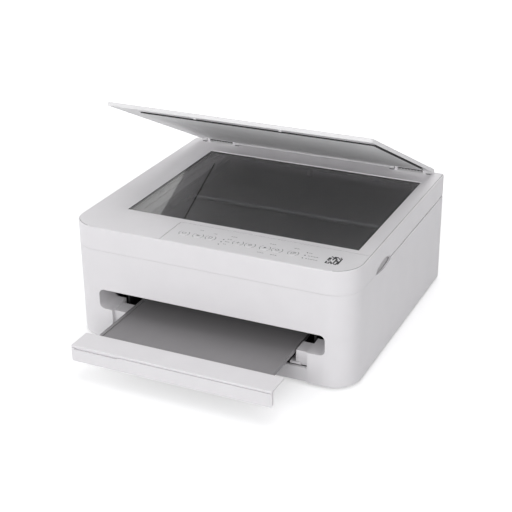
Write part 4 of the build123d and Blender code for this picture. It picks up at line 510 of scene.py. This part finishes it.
def add_print(shape, outline, top):
    """Thin closed layer of paint inside an outline of (x, y) in millimetres, on a surface at a height."""
    rings = []
    for height in (top - PRINT_SINK, top - PRINT_SINK + PRINT_THICKNESS):
        rings.append([shape.verts.new(on_case(x, y, height)) for x, y in outline])
    low, high = rings
    shape.faces.new(high)
    shape.faces.new(low[::-1])
    wall(shape, low, high)


def bar(start, end, width):
    """Outline of a straight stroke."""
    first, last = Vector(start), Vector(end)
    along = (last - first).normalized()
    side = Vector((-along.y, along.x)) * width / 2
    return [tuple(first - side), tuple(last - side), tuple(last + side), tuple(first + side)]


def arc(centre, radius, start, end, width, steps=10):
    """Outline of a curved stroke between two angles in degrees."""
    turns = [radians(start + (end - start) * step / steps) for step in range(steps + 1)]
    outer = [on_circle(centre, radius + width / 2, turn) for turn in turns]
    inner = [on_circle(centre, radius - width / 2, turn) for turn in turns]
    return outer + inner[::-1]


def disc(centre, radius, sides=16):
    """Outline of a dot."""
    return [on_circle(centre, radius, 2 * pi * side / sides) for side in range(sides)]


# Button symbols and the arcs beside them, millimetres and degrees
BUTTONS = 8
STROKE = 0.5
SYMBOL_SCALE = 1.2
RING_R = 6.55
RING_SPREAD = 52.0
RING_STROKE = 0.4
# Rows of short plain strokes where the panel has small print: middle across and along, length
LABELS = (
    (-23.6, -126.6, 5.0), (-4.0, -129.5, 4.0), (20.0, -128.5, 8.0),
    (18.2, -137.0, 6.5), (18.4, -144.2, 6.5), (18.0, -151.0, 4.0),
    (70.4, -128.8, 8.5), (66.1, -155.7, 8.5), (82.4, -155.6, 8.5), (100.7, -128.9, 7.5),
    (120.0, -134.5, 4.5), (126.0, -142.0, 13.5), (126.8, -149.5, 15.5),
)
LABEL_STROKE = 0.7
LABEL_PITCH = 3.0
# Share of its pitch that each stroke fills
LABEL_SHARE = 0.75


def icon(number, x, y):
    """Plain generic symbol of one button, as outlines round its middle."""
    def path(*points):
        places = [(x + SYMBOL_SCALE * a, y + SYMBOL_SCALE * b) for a, b in points]
        return [bar(start, end, STROKE) for start, end in zip(places, places[1:])]

    def curve(radius, start, end):
        return [arc((x, y), SYMBOL_SCALE * radius, start, end, STROKE)]

    symbols = {
        1: curve(1.9, 125, 270) + curve(1.9, 270, 415) + path((0, 0.8), (0, 2.7)),
        2: path((-2.2, 0.9), (2.2, 0.9)) + path((-2.2, -0.9), (2.2, -0.9)) + path((-1.2, 0), (1.2, 0)),
        3: path((-1.5, -1.9), (-1.5, 1.9), (1.5, 1.9), (1.5, -1.9), (-1.5, -1.9)),
        4: path((-1.9, 0), (1.9, 0)) + path((0, -1.9), (0, -0.3)) + path((0, 0.3), (0, 1.9)),
        5: curve(1.7, 0, 180) + curve(1.7, 180, 360) + [disc((x, y), 0.6)],
        6: [[(x - 1.2, y - 1.9), (x + 2.0, y), (x - 1.2, y + 1.9)]],
        7: path((0, -2.2), (2.2, 0), (0, 2.2), (-2.2, 0), (0, -2.2)),
        8: path((-2, -2), (-2, 1), (1, 1), (1, -2), (-2, -2)) + path((-0.8, 2.1), (2.1, 2.1), (2.1, -0.8)),
    }
    return symbols[number]


def make_panel_marks(slots):
    """Symbols on the buttons, arcs beside them and short strokes for the small print."""
    marks = bmesh.new()
    for number in range(1, BUTTONS + 1):
        node = f"button_{number}"
        low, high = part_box(node)
        x = ((low.x + high.x) / 2 - CASE_MIDDLE.x) / MM
        y = ((low.y + high.y) / 2 - CASE_MIDDLE.y) / MM
        symbol = bmesh.new()
        for outline in icon(number, x, y):
            add_print(symbol, outline, high.z)
        mesh_piece(f"button_symbol_{number}", symbol, slots["print"], node)
        for middle in (0.0, 180.0):
            ring = arc((x, y), RING_R, middle - RING_SPREAD, middle + RING_SPREAD, RING_STROKE)
            add_print(marks, ring, PANEL_TOP)
    for x, y, length in LABELS:
        count = max(2, round(length / LABEL_PITCH))
        pitch = length / count
        for place in range(count):
            start = x - length / 2 + place * pitch
            add_print(marks, bar((start, y), (start + LABEL_SHARE * pitch, y), LABEL_STROKE), PANEL_TOP)
    mesh_piece("panel_marks", marks, slots["print"], "scanner_unit")


# Square mark, millimetres: middle, size, cells across and along, inset of each block in its cell
SQUARE_MARK = (151.0, -141.8)
SQUARE_SIZE = (16.0, 20.0)
SQUARE_CELLS = (9, 10)
SQUARE_INSET = 0.02
# Chance that a cell holds a block, inside and along the edges
SQUARE_FILL = 0.55
SQUARE_EDGE_FILL = 0.85
SQUARE_SEED = 5


def make_square_mark(slots):
    """Plain blocks in random places in a square field on the right of the panel."""
    shape = bmesh.new()
    draw = Random(SQUARE_SEED)
    columns, rows = SQUARE_CELLS
    width, depth = SQUARE_SIZE[0] / columns, SQUARE_SIZE[1] / rows
    corner = (SQUARE_MARK[0] - SQUARE_SIZE[0] / 2, SQUARE_MARK[1] - SQUARE_SIZE[1] / 2)
    for row in range(rows):
        for column in range(columns):
            edge = row in (0, rows - 1) or column in (0, columns - 1)
            if draw.random() > (SQUARE_EDGE_FILL if edge else SQUARE_FILL):
                continue
            left = corner[0] + column * width + SQUARE_INSET
            near = corner[1] + row * depth + SQUARE_INSET
            right = left + width - 2 * SQUARE_INSET
            far = near + depth - 2 * SQUARE_INSET
            add_print(shape, [(left, near), (right, near), (right, far), (left, far)], PANEL_TOP)
    mesh_piece("square_mark", shape, slots["dark_print"], "scanner_unit")


# Foam's sides: pull-in at their edges and depth of the waves in metres, points to a side, steps up the height
FOAM_EDGE = 0.0006
FOAM_WAVE = 0.00012
FOAM_STEPS = 48
FOAM_LEVELS = 6
FOAM_SEED = 7


def make_foam_pad(slots):
    """Foam behind the white sheet: a slab whose sides bulge a little and are uneven as cut foam is."""
    across, away, up = cover_axes()
    (left, right), (near, far), (under, top) = spans_on_cover("pad_foam")
    corners = ((left, near), (right, near), (right, far), (left, far))
    draw = Random(FOAM_SEED)
    outline = []
    for start, end in zip(corners, corners[1:] + corners[:1]):
        for step in range(FOAM_STEPS):
            share = step / FOAM_STEPS
            outline.append((
                start[0] + (end[0] - start[0]) * share,
                start[1] + (end[1] - start[1]) * share,
                draw.uniform(0, FOAM_WAVE),
            ))
    middle = ((left + right) / 2, (near + far) / 2)
    half = ((right - left) / 2, (far - near) / 2)
    shape = bmesh.new()
    rings = []
    for level in range(FOAM_LEVELS + 1):
        share = level / FOAM_LEVELS
        inset = FOAM_EDGE * (1 - sin(pi * share))
        rise = under + (top - under) * share
        ring = []
        for a, b, wave in outline:
            wide = middle[0] + (a - middle[0]) * (1 - (inset + wave) / half[0])
            long = middle[1] + (b - middle[1]) * (1 - (inset + wave) / half[1])
            ring.append(shape.verts.new(across * wide + away * long + up * rise))
        rings.append(ring)
    for lower, upper in zip(rings, rings[1:]):
        wall(shape, lower, upper)
    shape.faces.new(rings[0][::-1])
    shape.faces.new(rings[-1])
    pad = mesh_piece("foam_pad", shape, slots["foam"], "document_cover")
    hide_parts("pad_foam")


SCREW_SIDES = 20
# How deep the head's lowest ring lies below the face that it stands on, metres
SCREW_SINK = 0.0003
# Height of the head as a share of its radius, and its rings as shares of radius and height
SCREW_HEIGHT = 0.55
SCREW_RINGS = ((1.0, 0.45), (0.93, 0.78), (0.72, 1.0))
# Cross recess: reach and half width as shares of the radius, depth of the height, floor of the mouth
RECESS_REACH = 0.55
RECESS_HALF = 0.13
RECESS_DEPTH = 0.6
RECESS_FLOOR = 0.8


def add_screw(shape, place, direction, radius):
    """Pan-head screw with a cross recess, its head standing on a point and facing a direction."""
    turn = Vector((0, 0, 1)).rotation_difference(Vector(direction)).to_matrix()
    height = radius * SCREW_HEIGHT

    def vertex(point):
        return shape.verts.new(Vector(place) + turn @ point)

    def ring(reach, rise):
        angles = (2 * pi * side / SCREW_SIDES for side in range(SCREW_SIDES))
        return [vertex(Vector((*on_circle((0, 0), reach, angle), rise))) for angle in angles]

    rings = [ring(radius, -SCREW_SINK)]
    for wide, high in SCREW_RINGS:
        rings.append(ring(radius * wide, height * high))
    for lower, upper in zip(rings, rings[1:]):
        wall(shape, lower, upper)
    shape.faces.new(rings[0][::-1])
    reach, half = radius * RECESS_REACH, radius * RECESS_HALF
    cross = []
    for quarter in range(4):
        spin = Matrix.Rotation(quarter * pi / 2, 3, "Z")
        for a, b in ((reach, -half), (reach, half), (half, half)):
            cross.append(spin @ Vector((a, b, 0)))
    floor = height - height * RECESS_DEPTH
    mouth = [vertex(point + Vector((0, 0, height))) for point in cross]
    bottom = [vertex(point * RECESS_FLOOR + Vector((0, 0, floor))) for point in cross]
    wall(shape, mouth, bottom)
    shape.faces.new(bottom)
    edges = ring_edges(shape, rings[-1]) + ring_edges(shape, mouth)
    bmesh.ops.triangle_fill(shape, edges=edges, use_beauty=True)


# Screws of the main board, metres: radius, board's thickness, distances from its front, rear and top edges
BOARD_SCREW_R = 0.0026
BOARD_THICKNESS = 0.0016
BOARD_SCREW_FRONT = 0.006
BOARD_SCREW_REAR = 0.030
BOARD_SCREW_TOP = 0.005
# Screws of the bottom tub: radius, places from the middle of the case, metres
BOTTOM_SCREW_R = 0.0028
BOTTOM_SCREW_X = (-0.168, 0.168)
BOTTOM_SCREW_Y = (-0.110, 0.120)


def make_screws(slots):
    """Screws of the main board and of the bottom tub."""
    low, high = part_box("main_board")
    on_board = bmesh.new()
    for y in (low.y + BOARD_SCREW_FRONT, high.y - BOARD_SCREW_REAR):
        place = (high.x - BOARD_THICKNESS, y, high.z - BOARD_SCREW_TOP)
        add_screw(on_board, place, (-1, 0, 0), BOARD_SCREW_R)
    mesh_piece("chassis_screws", on_board, slots["screws"], "root")
    tub_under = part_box("base_frame")[0].z
    under = bmesh.new()
    for x in BOTTOM_SCREW_X:
        for y in BOTTOM_SCREW_Y:
            add_screw(under, (x, CASE_MIDDLE.y + y, tub_under), (0, 0, -1), BOTTOM_SCREW_R)
    mesh_piece("bottom_screws", under, slots["screws"], "root")


# Scoop of a grip cup in millimetres: depths from the side of the case, wall, reach past the grip's ends,
# top edge above the seam, and how far it lies below the edge of the case's dip
CUP_START = 3.5
CUP_END = 8.5
CUP_WALL = 1.0
CUP_PAST_GRIP = 0.5
CUP_ABOVE_SEAM = 0.4
CUP_BELOW_EDGE = 0.1
CUP_ROWS = 28
CUP_COLUMNS = 10
# Points of a mesh closer than this, in metres, are one
MERGE = 1e-7


def cup_layer(shape, side, skin):
    """Rows of points on the scoop's face, or so many millimetres behind it."""
    layer = []
    for row in range(CUP_ROWS + 1):
        share = -cos(pi * row / CUP_ROWS)
        y = GRIP_Y + share * (GRIP_LENGTH / 2 + CUP_PAST_GRIP + skin)
        dip = GRIP_DIP * max(0.0, 1 - share ** 2) ** 0.5 + CUP_BELOW_EDGE
        line = []
        for column in range(CUP_COLUMNS + 1):
            turn = pi / 2 * column / CUP_COLUMNS
            depth = CUP_START + (CUP_END - CUP_START + skin) * sin(turn)
            drop = (dip + skin) * cos(turn) - CUP_ABOVE_SEAM * sin(turn)
            line.append(shape.verts.new(on_case(side * (CASE_HALF - depth), y, (SEAM_RISE - drop) * MM)))
        layer.append(line)
    return layer


def make_grip_cups(slots):
    """Shallow scoop under each finger grip of the scanner unit, with a narrow gap to the wall of the case."""
    for side, name in ((-1, "grip_cup_left"), (1, "grip_cup_right")):
        shape = bmesh.new()
        face = cup_layer(shape, side, 0.0)
        back = cup_layer(shape, side, CUP_WALL)
        for layer in (face, back):
            for first, second in zip(layer, layer[1:]):
                strip(shape, first, second)
        for end in (0, -1):
            strip(shape, [line[end] for line in face], [line[end] for line in back])
            strip(shape, face[end], back[end])
        bmesh.ops.remove_doubles(shape, verts=shape.verts, dist=MERGE)
        bmesh.ops.dissolve_degenerate(shape, dist=MERGE, edges=shape.edges)
        mesh_piece(name, shape, slots["white_casing"], "scanner_unit")


def seen_by_eye(tree):
    """1 for what the camera sees directly, in a gloss or through glass."""
    path = tree.nodes.new("ShaderNodeLightPath")
    seen = path.outputs["Is Camera Ray"]
    for kind in ("Is Glossy Ray", "Is Transmission Ray"):
        either = tree.nodes.new("ShaderNodeMath")
        either.operation = "MAXIMUM"
        tree.links.new(seen, either.inputs[0])
        tree.links.new(path.outputs[kind], either.inputs[1])
        seen = either.outputs[0]
    return seen


# Floor, metres: half its width, drop below the feet, distances over which it turns from shaded to plain white
FLOOR_HALF = 6.0
FLOOR_DROP = 0.0002
FLOOR_FADE = (0.45, 1.1)
# Strength of its own white at those distances
FLOOR_GLOW = (0.5, 1.0)


def make_floor():
    """Pale floor that keeps the object's shadow and is white to the camera elsewhere."""
    mesh = bpy.data.meshes.new("floor")
    signs = ((-1, -1), (1, -1), (1, 1), (-1, 1))
    mesh.from_pydata([(FLOOR_HALF * x, FLOOR_HALF * y, 0) for x, y in signs], [], [(0, 1, 2, 3)])
    floor = link(bpy.data.objects.new("floor", mesh))
    floor.location.z = -FLOOR_DROP
    nodes = Nodes("floor")
    nodes.put("Base Color", (0.75, 0.75, 0.76, 1))
    nodes.put("Roughness", 0.9)
    nodes.put("Specular IOR Level", 0.1)
    nodes.put("Emission Color", (1, 1, 1, 1))
    glow = nodes.ramp(nodes.length(nodes.place), *FLOOR_GLOW, *FLOOR_FADE)
    nodes.put("Emission Strength", nodes.math("MULTIPLY", seen_by_eye(nodes.tree), glow))
    mesh.materials.append(nodes.material)


WORLD_COLOUR = (0.985, 0.985, 1.0, 1)
WORLD_STRENGTH = 0.19


def make_world():
    """Even studio surround, plain white where the camera or a gloss sees it."""
    world = bpy.data.worlds.new("studio")
    bpy.context.scene.world = world
    world.use_nodes = True
    tree = world.node_tree
    light = tree.nodes["Background"]
    light.inputs["Color"].default_value = WORLD_COLOUR
    light.inputs["Strength"].default_value = WORLD_STRENGTH
    seen_white = tree.nodes.new("ShaderNodeBackground")
    seen_white.inputs["Color"].default_value = (1, 1, 1, 1)
    mix = tree.nodes.new("ShaderNodeMixShader")
    tree.links.new(seen_by_eye(tree), mix.inputs[0])
    tree.links.new(light.outputs[0], mix.inputs[1])
    tree.links.new(seen_white.outputs[0], mix.inputs[2])
    tree.links.new(mix.outputs[0], tree.nodes["World Output"].inputs["Surface"])


# Point that every lamp faces, metres
LIT_POINT = (0, 0.05, 0.1)
# Soft boxes: name, place, size in metres, watts
LAMPS = (
    ("front", (0.0, -2.2, 0.8), 1.4, 19.8),
    ("key", (-0.9, -1.9, 1.1), 1.2, 4.2),
    ("left", (-1.9, -0.3, 0.9), 1.4, 10.8),
    ("fill", (1.6, -0.9, 0.9), 1.6, 10.3),
    ("top", (0.1, 0.3, 2.2), 1.6, 14.6),
    ("back", (0.0, 1.7, 1.7), 1.4, 6.5),
)


def make_lights():
    """Square soft boxes round the printer, all facing it."""
    for name, place, size, power in LAMPS:
        lamp = bpy.data.lights.new(name, "AREA")
        lamp.size = size
        lamp.energy = power
        thing = link(bpy.data.objects.new(name, lamp))
        thing.location = place
        thing.rotation_mode = "QUATERNION"
        thing.rotation_quaternion = (Vector(LIT_POINT) - Vector(place)).to_track_quat("-Z", "Y")


# Width of the camera's sensor in millimetres, and the distances that it sees, in metres
SENSOR_WIDTH = 36.0
CLIP_RANGE = (0.05, 30)


def make_camera():
    """Camera at the photograph's place, turned by the fitted azimuth, elevation and roll."""
    data = bpy.data.cameras.new("camera")
    camera = link(bpy.data.objects.new("camera", data))
    data.sensor_width = SENSOR_WIDTH
    data.lens = FOCAL_PIXELS * SENSOR_WIDTH / PICTURE_SIZE
    data.clip_start, data.clip_end = CLIP_RANGE
    ahead = Vector((
        -sin(CAMERA_AZIMUTH) * cos(CAMERA_ELEVATION),
        cos(CAMERA_AZIMUTH) * cos(CAMERA_ELEVATION),
        -sin(CAMERA_ELEVATION),
    ))
    level_right = Vector((cos(CAMERA_AZIMUTH), sin(CAMERA_AZIMUTH), 0))
    level_up = level_right.cross(ahead)
    right = level_right * cos(CAMERA_ROLL) + level_up * sin(CAMERA_ROLL)
    up = level_up * cos(CAMERA_ROLL) - level_right * sin(CAMERA_ROLL)
    turn = Matrix((right, up, -ahead)).transposed()
    camera.matrix_world = Matrix.Translation(CAMERA_PLACE) @ turn.to_4x4()
    bpy.context.scene.camera = camera


looks = finishes()
dress_nodes(looks)
make_panel_marks(looks)
make_square_mark(looks)
make_foam_pad(looks)
make_screws(looks)
make_grip_cups(looks)
make_floor()
make_world()
make_lights()
make_camera()
bpy.context.scene.view_settings.view_transform = "Standard"
